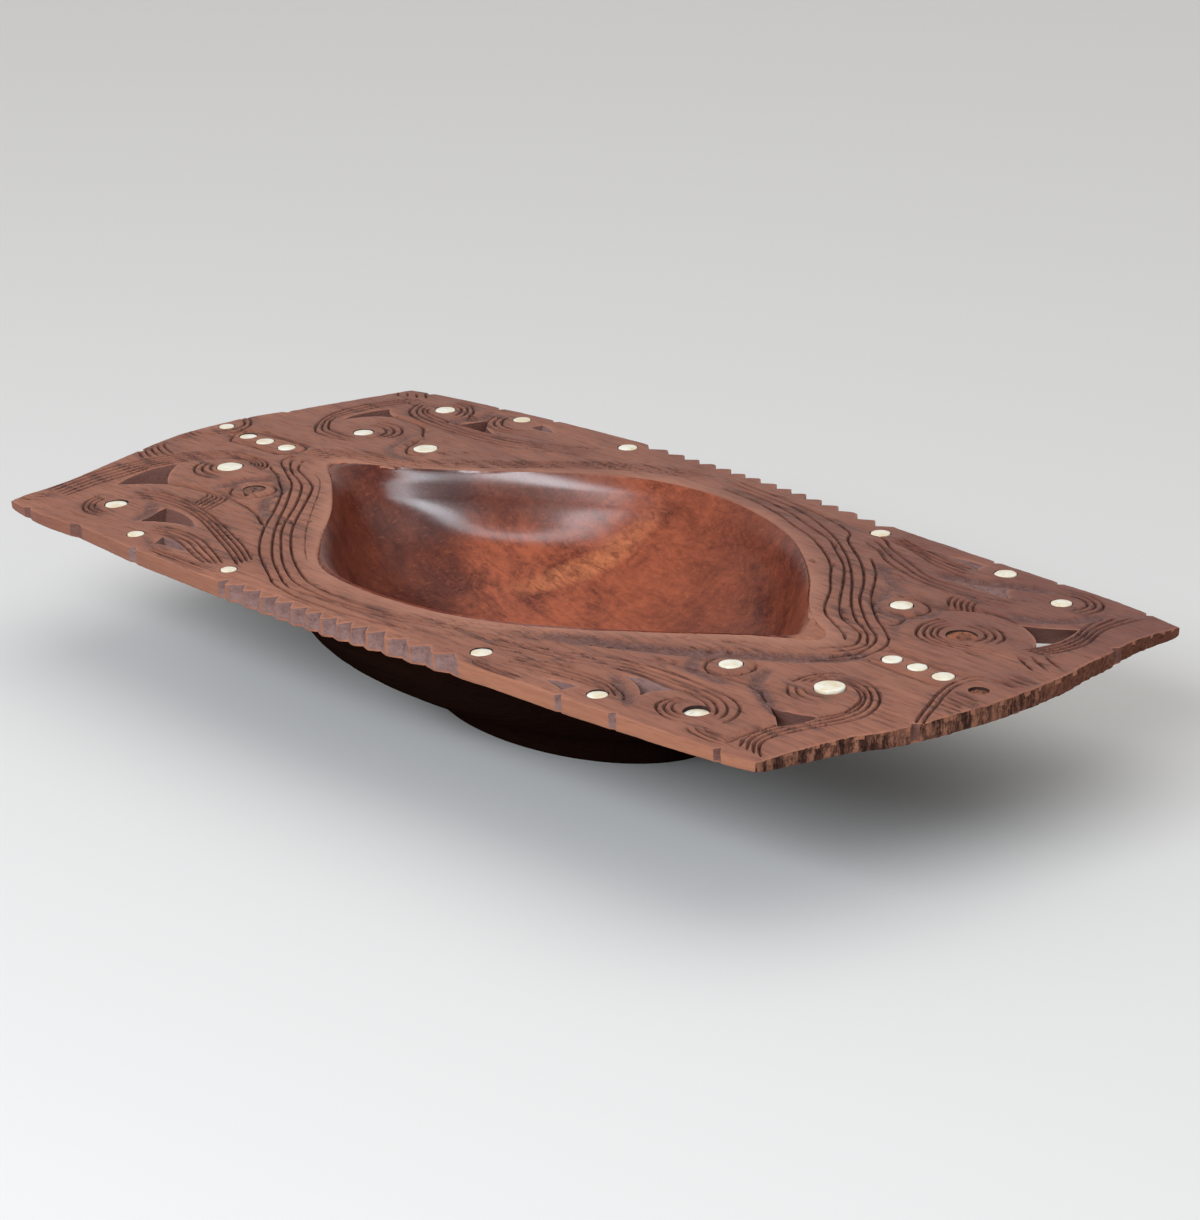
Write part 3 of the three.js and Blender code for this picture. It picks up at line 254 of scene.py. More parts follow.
# Bands of parallel grooves: how many grooves there are, the first and the last.
BANDS = {
    "rim_back_left": (5, [
        (-140.5, 3), (-137, 9.5), (-129, 13.5), (-122, 17.5), (-113, 18.9), (-103, 22.5), (-92, 32),
        (-80, 42.5), (-66, 56), (-50, 70.5), (-34, 80), (-20, 83.5),
    ], [
        (-129.5, 2.5), (-127.5, 6), (-124.5, 8.5), (-119, 9.9), (-110, 11.4), (-100, 15.6),
        (-90, 24.5), (-78, 35), (-64, 49), (-48, 63.5), (-33, 73), (-22, 76.4),
    ]),
    "front_right_stem": (4, [
        (48, -72.5), (60, -70.5), (72, -66.5), (83.5, -61.3), (94, -57.4), (109.6, -55),
        (127, -55.1), (138, -56), (145.2, -59.1), (149.6, -65.2), (150.5, -71),
    ], [
        (56, -76.8), (66, -74.5), (78, -70.8), (88.7, -67), (101, -63), (118.3, -61.7),
        (132.2, -62.6), (138.3, -64.8), (141.7, -67.4),
    ]),
    "front_right_small_stem": (4, [
        (66, -78), (79, -73.9), (88.7, -72.4), (96.5, -71.8), (104.3, -72), (109.6, -72.9),
        (113.9, -75.2), (117, -78.7),
    ], [
        (69.6, -83.5), (80, -80.4), (94, -77.7), (106, -77),
    ]),
    "front_right_edge": (2, [
        (61, -86.2), (65, -87.4), (81.7, -87.2),
    ], [
        (61, -87.8), (65.2, -89.1), (81.7, -88.6),
    ]),
    "front_right_middle_rings": (3, [
        (130.5, -65), (126.8, -67.6), (125.7, -71.3), (127, -74.8), (131.3, -77.4), (136.5, -78.7),
        (141, -77.8),
    ], [
        (132.5, -67), (130, -68.2), (129.6, -70.2), (131.3, -72.6), (134.8, -74.2), (139, -74.3),
    ]),
    "front_right_tail": (3, [
        (148.7, -76.5), (153, -77.7), (161, -78),
    ], [
        (144.3, -79.3), (149.6, -81.3), (160, -81.9),
    ]),
    "front_right_end": (4, [
        (141.6, -35), (141.2, -29), (143.3, -23.5), (147, -20.4), (156.5, -19.1), (166.1, -23.9),
        (172.6, -32.2), (174.8, -41.7), (171.3, -53.9), (167.8, -66.1), (168, -72), (170.4, -75.7),
        (175.7, -80),
    ], [
        (147, -29.5), (146.8, -26.8), (149.5, -24.9), (156.5, -24.8), (164.3, -29.6),
        (168.3, -38.3), (168.3, -43.5), (164.3, -55.7), (161.7, -62.6), (161.6, -69),
        (162.6, -73.9), (166.1, -79.1),
    ]),
    "front_right_large_rings": (3, [
        (142.6, -37.6), (147.8, -42.2), (153.9, -43), (160, -41.7),
    ], [
        (147.2, -35.8), (151.8, -38), (156.4, -37.6),
    ]),
    "front_right_hatch": (4, [
        (172.4, -30), (176, -30.1), (180.5, -29.4),
    ], [
        (175.7, -38.7), (181, -38.4), (187, -39),
    ]),
    "right_hatch_front": (6, [
        (178.8, -7), (184, -6.6), (190, -7.4),
    ], [
        (183.6, -18.8), (187, -18.4), (190, -19),
    ]),
    "right_boundary_front": (2, [
        (173.4, 2), (174, -4), (177.3, -12.5), (181.3, -20), (185.5, -28), (188.2, -32),
    ], [
        (175.6, 2), (176.2, -4), (179.4, -11.8), (183.3, -19), (187.3, -27), (190, -31),
    ]),
    "back_right_stem": (3, [
        (64.3, 79.5), (68.7, 78), (74.8, 74), (81.7, 70.9), (93.9, 65.7), (100.9, 62.7),
        (107.8, 61.5), (118, 62.2), (130.4, 64.8), (138.3, 68.3),
    ], [
        (66, 71.5), (74.8, 68.6), (83, 63.5), (92, 60), (100.9, 57.5), (109.6, 56.4), (118.3, 56.6),
        (127, 58.3), (137, 60.6),
    ]),
    "back_right_small_stem": (4, [
        (70, 84.2), (79, 81.8), (88.7, 80), (97.4, 78.7), (106, 78.4),
    ], [
        (69.6, 79.2), (76.5, 78.3), (83.5, 76.6), (90.4, 74), (96.5, 72.2), (109.6, 70.9),
    ]),
    "back_right_slant": (5, [
        (120.6, 55.3), (122.5, 50.5), (127, 46),
    ], [
        (129.6, 55.5), (131.5, 51.6), (136, 48.4),
    ]),
    "back_right_large_rings": (4, [
        (134.5, 37), (132.6, 33), (133, 28.3), (134.8, 24), (138.3, 20), (143.5, 18.2),
        (149.6, 17.9), (156.5, 19.2), (163.5, 20.5),
    ], [
        (139.6, 35), (139, 31), (140.2, 27), (143.5, 24.2), (148, 23.3), (154, 24.3), (160, 27.2),
        (164.5, 30),
    ]),
    "back_right_large_arcs": (3, [
        (146.5, 42.6), (152, 41.7), (157.4, 37.8), (159.4, 31.8),
    ], [
        (141.5, 36.6), (146, 38), (151, 36.6), (153.8, 32.5), (153.6, 28.4),
    ]),
    "back_right_end": (4, [
        (170.6, 85), (169.9, 78), (170.4, 68), (173, 60.5), (175.7, 53.5), (176.1, 47.4),
        (175.7, 41.3), (173, 34.4),
    ], [
        (162.5, 76), (164.3, 68.3), (166.4, 62.2), (169.4, 56), (170.6, 48.3), (170.2, 41.3),
        (167.6, 34.1),
    ]),
    "back_right_hatch": (3, [
        (175.7, 35.7), (181, 33.1), (187, 30.9),
    ], [
        (170.4, 29.2), (175.7, 26.6), (182.6, 23.1),
    ]),
    "right_hatch_back": (3, [
        (180.6, 16.2), (185, 16), (189.6, 16.3),
    ], [
        (180.4, 11.2), (185, 11), (190, 11.2),
    ]),
    "right_boundary_back": (2, [
        (173.4, 2), (173.6, 6), (176.6, 8.8), (182, 9.6), (188.5, 10),
    ], [
        (175.6, 2), (175.9, 4.8), (178.3, 7.4), (183, 8.4), (187.8, 9.2),
    ]),
    "back_right_middle_rings": (3, [
        (140, 88.2), (147, 88.7), (153.8, 86), (157.2, 80.5), (157.5, 74),
    ], [
        (141, 83), (146.3, 84), (151, 82), (152.9, 77.5), (152.4, 73),
    ]),
    "front_left_stem": (4, [
        (-150, -58), (-144.3, -55.7), (-137.4, -54.8), (-124.3, -55.7), (-108.7, -59.1),
        (-91.3, -64.8), (-73.9, -71.3), (-61.7, -77.4),
    ], [
        (-147.8, -66.1), (-144.3, -63.5), (-137, -61.3), (-124.3, -60.9), (-108.7, -63.9),
        (-91.3, -70.4), (-73.9, -77.4), (-61.7, -83),
    ]),
    "front_left_small_stem": (4, [
        (-116, -77.6), (-108.7, -75.2), (-102.6, -74.8), (-95.7, -75), (-88.7, -76.5),
        (-75.7, -81.3), (-67, -85.2),
    ], [
        (-113, -82.2), (-107.8, -80.9), (-101.7, -80.4), (-93.9, -81.7), (-83, -85.6),
        (-71.3, -88.7),
    ]),
    "front_left_end": (5, [
        (-134.8, -20), (-136.5, -15.5), (-142, -11.8), (-150.4, -11.1), (-158.5, -12.8),
        (-165.5, -17.4), (-172, -25.5), (-177, -36), (-180, -48), (-180.6, -62), (-178.6, -77),
    ], [
        (-141.5, -17.8), (-146, -15.7), (-151.3, -16.5), (-157.5, -20.8), (-161.5, -25.5),
        (-165.5, -31.5), (-168.6, -41), (-168.6, -52), (-169, -64), (-168, -77),
    ]),
    "front_left_large_rings": (3, [
        (-158.3, -26.5), (-156.5, -31.3), (-152.2, -34.6), (-147, -35.9), (-141, -35.6),
    ], [
        (-153.8, -25), (-151.3, -28.7), (-147, -30.4), (-142.6, -30.3),
    ]),
    "front_left_slant": (5, [
        (-129.5, -46), (-126.5, -48.2), (-123.5, -55.8),
    ], [
        (-121.5, -43.6), (-117.6, -47.4), (-114.2, -57),
    ]),
    "front_left_middle_rings": (3, [
        (-158, -70), (-156.6, -76.5), (-152.2, -80.9), (-146, -83), (-140, -82.2),
    ], [
        (-154, -70.5), (-152.8, -75), (-149.8, -78), (-145.2, -79.2), (-141, -78.2),
    ]),
    "front_left_hatch": (5, [
        (-188.6, -21.5), (-184, -24.4), (-174.5, -27.6),
    ], [
        (-187.6, -33), (-184.4, -34.8), (-179.4, -36.8),
    ]),
    "left_hatch": (4, [(-192.2, -6.4), (-185, -6.7)], [(-191.3, -13.6), (-185, -13.9)]),
    "front_left_corner": (3, [
        (-179.6, -82.4), (-176, -80.8), (-174, -79),
    ], [
        (-178.4, -88), (-174.8, -86.2), (-171, -83.4),
    ]),
    "front_left_edge": (2, [
        (-99, -90.4), (-80, -91), (-66, -91.2),
    ], [
        (-99, -91.9), (-80, -92.7), (-66, -93),
    ]),
    "back_left_stem": (4, [
        (-157.6, 69.5), (-154, 62), (-148.5, 57.6), (-139.1, 54.8), (-121.7, 53.5), (-106.1, 53.8),
        (-93, 56.1), (-78, 62), (-66, 68.5),
    ], [
        (-149.3, 68), (-148, 64.8), (-142.6, 62.7), (-127.8, 61), (-110.4, 60.9), (-95.7, 63.5),
        (-82, 69), (-70, 75.5),
    ]),
    "back_left_end": (3, [
        (-139, 21.4), (-148.7, 20), (-157.5, 21.7), (-165.2, 29.2), (-170, 39), (-171, 50),
        (-168, 62), (-163, 73),
    ], [
        (-139.5, 25.4), (-147, 24.9), (-154.5, 26), (-161.7, 31), (-165.6, 38.5), (-165.4, 49),
        (-163.6, 60), (-159, 70),
    ]),
    "back_left_large_rings": (3, [
        (-149, 44.3), (-141, 45.2), (-135, 43), (-131, 38.5), (-130.4, 32.5),
    ], [
        (-148, 39.6), (-142, 39.9), (-137, 37.4), (-135, 33), (-136, 28.5),
    ]),
    "back_left_small_rings": (3, [
        (-125.2, 77.5), (-122.5, 71.5), (-117.5, 67.6), (-110.4, 66.4), (-103, 67.6),
    ], [
        (-120.6, 80), (-119.2, 76), (-115.6, 72.6), (-110, 70.8), (-104, 71.5),
    ]),
    "back_left_middle_rings": (3, [
        (-148, 80.6), (-141, 79.8), (-134.5, 75), (-129.8, 68),
    ], [
        (-148.6, 76.2), (-142, 75.6), (-138, 72), (-135.4, 67),
    ]),
    "back_left_corner": (4, [(-175.8, 73.6), (-171, 70)], [(-166.5, 79), (-161, 75)]),
    "left_boundary": (2, [
        (-191, 16), (-186, 14.5), (-180.5, 9.6), (-178.6, 3), (-181.4, -3), (-186.5, -5.4),
    ], [
        (-190.6, 13.6), (-186.6, 12.2), (-182.8, 8.8), (-181.3, 3), (-183.4, -1.3), (-187, -3.2),
    ]),
}

# The lines that run round the mouth, one by one, from the left end of the bowl.
RIM_LINES = {
    "front_1": [
        (-136.5, -13.9), (-133, -16.1), (-125.7, -19.1), (-118.3, -23.5), (-110, -29.1),
        (-97.4, -41.3), (-82.6, -57.4), (-69.1, -69.1), (-58.7, -75.7), (-46, -82.4),
        (-39.6, -85.7), (-32, -87.6), (-22.5, -88.9), (-11, -89), (0, -88.3), (18.5, -85.7),
        (35.6, -80.5), (50, -74), (64, -68),
    ],
    "front_2": [
        (-139.5, -3.5), (-137.8, -7.8), (-134.8, -10.4), (-121.7, -17.4), (-113, -22.6),
        (-98.7, -35.7), (-86.1, -48.7), (-74.3, -59.6), (-59.1, -71.3), (-46, -78.8),
        (-33.9, -84.6), (-26.3, -85.4), (-5.3, -84.9), (10.9, -82.6), (24, -79.5), (46, -71),
        (66, -62),
    ],
    "front_3": [
        (-136, -4.8), (-132.6, -8.3), (-124.8, -13.5), (-110.4, -20.4), (-96.1, -33.5),
        (-80.4, -50.9), (-67.8, -61.3), (-51.7, -72.6), (-35.8, -80.5), (-21.5, -83), (-3.4, -83),
        (14, -80), (26, -76.4), (40, -69.6), (60, -60.5),
    ],
    "front_4": [
        (-130, -5.7), (-125.7, -10.2), (-119.1, -13), (-110.4, -16.7), (-103.9, -20.9),
        (-90, -35.7), (-78.3, -48.3), (-64.8, -59.6), (-49.6, -69.6), (-30, -78.5), (-11, -80.5),
        (0, -80.5), (10, -79.2), (22, -75.6), (38, -67.5), (52, -60.5),
    ],
    "back_1": [
        (-6, 76.5), (10, 75), (25, 71.5), (40, 65.7), (50, 62.4), (63.9, 54.8), (74.8, 47),
        (83.5, 38.3), (93, 28.7), (100.9, 18.7), (106.7, 13.2), (113, 9.6), (122.6, 4.8),
        (127.5, 0.8),
    ],
    "back_2": [
        (0, 80), (14, 78.3), (28, 75), (40, 70.5), (47.4, 67.9), (57.4, 64), (66.1, 58.1),
        (78.3, 49.4), (90, 37.4), (100.9, 25.1), (108.4, 17.6), (114.8, 12.9), (121.2, 10.5),
        (127, 7.7), (132.2, 0.5), (131.5, -4), (127, -10.5),
    ],
    "back_3": [
        (-9, 83.1), (4.2, 82.2), (23.2, 80), (32, 78), (40.9, 74.8), (54.8, 68.3), (66.5, 60.9),
        (77, 53.1), (90, 41.3), (100.9, 30), (108, 23.2), (117.1, 15.8), (127, 10.3), (132.2, 5.4),
        (134.8, 1.9), (134.9, -4), (131.5, -10),
    ],
    "back_4": [
        (-8, 86.3), (10, 84.6), (30, 82.2), (44.8, 78.7), (51, 76.8), (56.1, 74.5), (60, 69.5),
        (68.3, 63.5), (79.1, 56.1), (89.1, 47.4), (96.5, 39.6), (104.6, 30), (114.8, 21.3),
        (124.1, 14.5), (132.2, 9.2), (136.5, 2.2), (137.2, -4), (133.4, -12.5),
    ],
    "back_5": [
        (78, 61.6), (84, 57), (90, 51.8), (97, 44), (104.3, 35.3), (110.4, 29.6), (119.7, 21.9),
        (129.3, 15.8), (136.5, 10), (140.3, 2.8), (140.2, -4), (137, -10.5), (130.4, -18.7),
    ],
}
FAINT_LINES = {
    "front_5": [
        (-117.4, -10), (-110, -13), (-99.6, -21.3), (-86, -34.5), (-71.3, -48.3), (-56.1, -60.4),
        (-47.4, -66.2),
    ],
    "front_right_1": [(66, -62), (80, -53), (94, -42.5), (106, -31.5), (116, -24.5)],
    "front_right_2": [(64, -57), (78, -47), (92, -35.2), (104, -25.4), (113, -19.4)],
    "back_right_ground": [(85.3, 56.6), (90, 56.4), (96, 55.4), (102, 53.6)],
}
# Short slips of the chisel, each from its deep end to its shallow end.
CHIPS = {
    "back_right": [
        [(62.6, 61.2), (60.6, 63.2)], [(107.6, 23.3), (105.8, 25.4)], [(109.4, 17.4), (107.7, 19)],
        [(114.6, 14.7), (110.8, 15.4)], [(113.8, 27), (118.2, 28)], [(76, 47.3), (72, 48.6)],
        [(68.6, 44.8), (70.6, 44.2)], [(108.9, 32), (106.7, 33.6)], [(124.9, 30.6), (122.9, 29.6)],
        [(143.1, 3.9), (146.2, 4.9)],
    ],
    "front_left": [
        [(-87, -45.9), (-89, -44.4)], [(-83.2, -49.9), (-86.3, -48.7)],
        [(-108.2, -31.5), (-106.6, -33.2)], [(-77.3, -42.2), (-78.4, -40.9)],
        [(-135, -5.2), (-137, -4.2)], [(-131, -4.2), (-132.4, -2.8)], [(-139, -3), (-137.2, -2.6)],
        [(-81, -47), (-82.6, -44.6)], [(-117, -38.6), (-121, -36.6)],
    ],
    "front_right": [
        [(90.5, -27.6), (93.6, -28)], [(110.5, -30.2), (108.8, -29.6)],
        [(105, -33.7), (106.8, -34.2)], [(92.2, -32.2), (91.2, -33.4)], [(104, -26), (108, -24.2)],
        [(126.6, -42.2), (125.6, -44)], [(105, -48.4), (106.4, -47.8)],
    ],
    "back_left": [
        [(-87.4, 34.5), (-84.6, 35.2)], [(-89.6, 30.9), (-87.4, 32.2)],
        [(-102.6, 34.8), (-100.6, 34.2)], [(-121.2, 37), (-118.8, 36.6)],
        [(-97.6, 40.7), (-95, 40.3)], [(-150.6, 52.2), (-148.6, 51.6)],
    ],
}

# Single deeper lines round the scroll plates and panels.
OUTLINES = {
    "front_right_plate": [
        (100, -51), (107.4, -48.6), (117, -46.4), (127, -45.4), (137, -44.8), (142.6, -47.4),
        (146.5, -49.6),
    ],
    "front_right_plate_corner": [(162.3, -62.6), (160.8, -66), (160.3, -73), (161.2, -80)],
    "front_right_eye": [
        (112.5, -34), (111.4, -38.5), (113.4, -43), (118, -45.4), (123.4, -44), (126.4, -40),
        (126.3, -35.5), (123.6, -31.8),
    ],
    "front_right_row": [(143.6, -6.1), (153, -5.9), (161.7, -6.3), (173.8, -6.1)],
    "back_right_row": [(141.8, 5.6), (150, 5.2), (160, 4.9), (173, 5)],
    "back_right_plate": [
        (123, 42.5), (127.5, 44), (131, 47.5), (137, 51.3), (145, 52.4), (151.2, 50.9),
    ],
    "back_right_eye": [
        (110.5, 41), (116.5, 43.6), (123.5, 41.4), (126.2, 36), (124.2, 30.8), (118.4, 28.6),
    ],
    "back_right_eye_foot": [(124.6, 29.8), (126.8, 25), (127.6, 19)],
    "front_left_plate": [
        (-149.6, -47.8), (-143.5, -46.1), (-136.5, -45.2), (-128.7, -44.5), (-121.5, -43.4),
        (-113, -44.8), (-100, -47.8), (-92, -51.6), (-86, -54.4),
    ],
    "front_left_eye": [
        (-127, -36), (-124.6, -40), (-119.5, -41.4), (-114, -39.5), (-111.6, -34.5), (-113.4, -29),
        (-119, -26.2), (-125.6, -28.6),
    ],
    "back_left_plate": [
        (-150, 52.2), (-144.3, 52.2), (-137.4, 51.8), (-131.3, 49.6), (-127, 45.7), (-122, 42.4),
    ],
    "back_left_eye": [(-121, 40), (-119, 34), (-116, 29.4), (-110.8, 26.6), (-105.5, 28.5)],
    "left_row": [
        (-142.6, -2.6), (-148, -3.9), (-163.5, -3.8), (-171, -4.8), (-175, -2.4), (-177.2, 2),
        (-174.6, 6.8), (-165, 8), (-151, 8.8), (-144, 7.4), (-141.6, 2.5), (-142.2, -1.7),
    ],
}

# The sunken ground between raised plates: half its width, its depth and its middle line.
GROUNDS = {
    "front_right_by_lip": (4.4, 0.9, [
        (60, -60.5), (65.7, -57.8), (77.7, -52.4), (89.4, -46.9), (100.4, -40.9), (110.5, -33.6),
        (120.5, -26.6), (129.2, -19.7), (137.2, -11.1), (139.8, -2.0),
    ]),
    "front_right_by_eye": (2.6, 0.8, [
        (107, -38), (109, -44), (113, -48), (120, -49.2), (130, -48.6),
    ]),
    "front_right_by_plate": (2.8, 0.9, [
        (129.6, -32), (131.4, -38), (135.6, -44), (143, -48), (151, -52.6), (160, -55),
    ]),
    "front_right_by_stem": (2.6, 0.6, [
        (98, -67), (104, -69.5), (112, -74), (118.5, -77), (121, -82),
    ]),
    "back_right_by_eye": (2.4, 0.7, [
        (101, 45), (107, 38.6), (109.5, 31.5), (115, 27.5), (121.5, 27), (127.5, 31), (129, 37),
        (127, 42.5),
    ]),
    "back_right_by_lip": (2.6, 0.7, [(84, 59), (94, 53), (104, 46.5), (112, 45.6)]),
    "back_right_recess": (3.6, 0.9, [(102, 66.4), (112, 69), (120, 73.6), (128, 78), (136, 81.4)]),
    "back_right_by_end": (3.4, 0.7, [
        (142, 55.4), (150, 56.5), (156, 62), (160.4, 70), (161.4, 79),
    ]),
    "back_right_foot": (1.8, 0.5, [(128.6, 29), (128.2, 23.6), (131, 18), (137, 13)]),
    "front_left_by_eye": (2.6, 0.8, [
        (-131.4, -42.2), (-130.4, -35), (-129, -28), (-123, -23.3), (-116, -24), (-109.5, -30),
        (-107, -37.6), (-99.6, -44.4), (-91, -49.4),
    ]),
    "front_left_recess": (3.2, 0.9, [(-138, -64.4), (-132, -67), (-128.4, -72), (-126.6, -79)]),
    "front_left_by_small": (1.7, 0.6, [(-110.4, -84.6), (-105, -87.8), (-97, -89)]),
    "back_left_by_eye": (2.4, 0.6, [
        (-128.4, 42), (-124.6, 34), (-120.4, 25.6), (-112, 21.6), (-103, 24.4),
    ]),
    "back_left_recess": (3, 0.9, [(-131.4, 60), (-130, 66), (-127, 72.6), (-129.6, 80)]),
}
VALLEY = {"half": 2.1, "depth": 0.5}  # the rounding of the plates' edges along their outlines

# Lines and rings in plan

FINE_STEPS = 24  # steps from one given point to the next, before a line is spaced evenly
NICK_SHARPNESS = 1.1
# Spacing of points along the rim's edge, the least distance from the last one to the next side, the
# clearance round a cut, and how far the edge is worn back and wanders.
EDGE = {"step": 1.3, "last": 0.6, "clear": 0.3, "worn": 0.1, "wander": 0.22}
CUT_SHARES = (-1, -0.7, -0.42, -0.2, -0.07, 0, 0.07, 0.2, 0.42, 0.7, 1)


def lengths(points):
    """Distance along a line to each of its points."""
    steps = np.linalg.norm(np.diff(points, axis=0), axis=1)
    return np.concatenate([[0], np.cumsum(steps)])


def at_lengths(points, along, places):
    """The points at some distances along a line."""
    return np.stack([np.interp(places, along, points[:, i]) for i in range(2)], 1)


def smooth(points, step):
    """A smooth line through points, as evenly spaced points about a step apart."""
    p = np.array(points, float)
    last = len(p) - 1
    share = np.linspace(0, 1, FINE_STEPS, endpoint=False)[:, None]
    parts = []
    for i in range(last):
        start, end = p[i], p[i + 1]
        leave = (end - p[max(i - 1, 0)]) / 2
        arrive = (p[min(i + 2, last)] - start) / 2
        cubic = 2 * start - 2 * end + leave + arrive
        square = -3 * start + 3 * end - 2 * leave - arrive
        parts.append(((cubic * share + square) * share + leave) * share + start)
    fine = np.vstack([*parts, p[-1:]])
    along = lengths(fine)
    count = max(2, round(along[-1] / step) + 1)
    return at_lengths(fine, along, np.linspace(0, along[-1], count))


def to_the_left(points, closed=False):
    """Unit vectors to the left of a line at each of its points."""
    if closed:
        ahead = np.roll(points, -1, 0) - np.roll(points, 1, 0)
    else:
        ahead = np.gradient(points, axis=0)
    ahead = ahead / (np.linalg.norm(ahead, axis=1)[:, None] + 1e-12)
    return np.stack([-ahead[:, 1], ahead[:, 0]], 1)


def inside(points, loop):
    """Which points lie inside a closed loop."""
    x, y = points[:, 0], points[:, 1]
    found = np.zeros(len(points), bool)
    for (ax, ay), (bx, by) in zip(loop, np.roll(loop, -1, 0)):
        if ay == by:
            continue
        crosses = (y < ay) != (y < by)
        found ^= crosses & (x < ax + (y - ay) * (bx - ax) / (by - ay))
    return found


def inside_sheet(points, edge, gaps):
    """Which points lie inside an edge and outside every gap."""
    kept = inside(points, edge)
    for gap in gaps:
        near = np.all((points > gap.min(0)) & (points < gap.max(0)), axis=1)
        kept[near] &= ~inside(points[near], gap)
    return kept


def rim_top(points):
    """Height of the rim's top at points in plan."""
    x, y = points[..., 0], points[..., 1]
    along = CROWN["along"] * (x / CROWN["along_at"]) ** 2
    across = CROWN["across"] * (y / CROWN["across_at"]) ** 2
    return RIM_HEIGHT - along - across - CROWN["twist"] * x * y


def round_rise(share):
    return 1 - math.sqrt(max(0, 1 - share * share))


def lerp(start, end, share):
    return start + (end - start) * share


def ease(share):
    """A share of 0 to 1 that starts and ends gently."""
    return share**2 * (3 - 2 * share)


def ripple(x, y, z):
    """A soft unevenness, between about -1 and 1."""
    return noise.noise(Vector((x, y, z)))


def plan_of(verts):
    return np.array([vert.co[:2] for vert in verts])


def edge_cuts(side, fine, along, chance):
    """Where the nicks and the valleys between teeth are: place, half width, depth, sharpness."""
    places = fine[:, "xy".index(side["axis"])]
    order = slice(None, None, 1 if places[-1] > places[0] else -1)

    def station(place):
        return float(np.interp(place, places[order], along[order]))

    cuts = [(station(place), half, depth, NICK_SHARPNESS) for place, half, depth in side["nicks"]]
    teeth = side["teeth"]
    for i, place in enumerate(teeth):
        gaps = [abs(other - place) for other in teeth[max(i - 1, 0):i] + teeth[i + 1:i + 2]]
        depth = TOOTH["depth"] * chance.uniform(*TOOTH["vary"])
        cuts.append((station(place), TOOTH["share"] * min(gaps), depth, TOOTH["sharpness"]))
    return sorted(cuts)


def rim_edge(chance):
    """The rim's edge in plan, its thickness, and how far its cuts run out again lower down."""
    loop, thickness, relief = [], [], []
    for side in SIDES.values():
        fine = smooth(side["outline"], 0.3)
        along = lengths(fine)
        left = to_the_left(fine)
        stations = [(s, 0) for s in np.arange(0, along[-1] - EDGE["last"], EDGE["step"])]
        for middle, half, depth, power in edge_cuts(side, fine, along, chance):
            clear = half + EDGE["clear"]
            stations = [(s, d) for s, d in stations if abs(s - middle) > clear or d]
            for share in CUT_SHARES:
                stations.append((middle + share * half, depth * (1 - abs(share) ** power)))
        for s, cut in sorted(stations):
            at, inward = (at_lengths(line, along, [s])[0] for line in (fine, left))
            wander = EDGE["wander"] * ripple(at[0] * 0.13, at[1] * 0.13, 3)
            loop.append(at + inward * (cut + wander + EDGE["worn"]))
            relief.append(-inward * cut * NOTCH_FOOT)
            share = s / along[-1]
            towards_middle = math.sqrt(max(0, 4 * share * (1 - share)))
            thickness.append(lerp(RIM_EDGE["corner"], RIM_EDGE["middle"], towards_middle))
    return np.array(loop), np.array(thickness), np.array(relief)


def mouth_edge(step):
    return np.vstack([smooth(side["mouth"], step)[:-1] for side in SIDES.values()])


def oval(shape, starts, shrink=0):
    """Points round an oval, each in the direction of a point round the mouth."""
    turn = np.arctan2(starts[:, 1] / HOLLOW["half_width"], starts[:, 0] / HOLLOW["half_length"])
    x = shape["middle"][0] + (shape["half_length"] - shrink) * np.cos(turn)
    y = shape["middle"][1] + (shape["half_width"] - shrink) * np.sin(turn)
    return np.stack([x, y], 1)


def bent_triangle(pairs, steps):
    """A bent triangle from its three corners and the points that its sides pass through."""
    p = np.array(pairs, float)
    loop = []
    for i in range(0, len(p), 2):
        start, through, end = p[i], p[i + 1], p[(i + 2) % len(p)]
        control = 2 * through - (start + end) / 2
        for share in np.arange(steps) / steps:
            bend = (1 - share) ** 2 * start + 2 * share * (1 - share) * control + share**2 * end
            loop.append(bend)
    return np.array(loop)


def circle(centre, radius, count, wobble, seed):
    """A round loop, a little uneven as hand-cut ones are."""
    turns = np.arange(count) * 2 * math.pi / count
    uneven = 1 + wobble * np.array([ripple(2 * math.cos(t), 2 * math.sin(t), seed) for t in turns])
    return np.array(centre) + radius * np.stack([np.cos(turns) * uneven, np.sin(turns) * uneven], 1)


def sockets():
    """Every socket's name, centre in plan and the radius of its disc."""
    return [
        (f"{region}_{place}", np.array((x, y)), radius)
        for region, places in DISCS.items()
        for place, (x, y, radius) in places.items()
    ]


# Carving

BAND = {"half": 0.68, "share": 0.37}  # widest groove of a band, and its share of their spacing
CHIP = {"half": 1.0, "depth": 1.4}
# The single lines: half their width, and their depth as a share of the depth that is set.
SINGLE_LINES = ((RIM_LINES, 0.62, 1), (FAINT_LINES, 0.4, 0.4), (OUTLINES, 0.68, 1))
GROOVE_RAILS = (-1.8, -1, -0.5, 0, 0.5, 1, 1.8)  # lines meshed along a groove, in half widths
GROOVE_REACH = 1.3  # how far from its middle line a groove is looked for
STROKE_REACH = 4.6  # the same for a stroke of sunken ground
STROKE_SHOULDER = 1.7  # a higher number makes the shoulders of sunken ground steeper


def band_lines(count, first, last):
    """A band's grooves, spaced evenly between its two guides."""
    guides = [smooth(guide, 1.0) for guide in (first, last)]
    even = np.linspace(0, 1, max(map(len, guides)))
    a, b = (at_lengths(guide, np.linspace(0, 1, len(guide)), even) for guide in guides)
    return [lerp(a, b, i / (count - 1)) for i in range(count)]


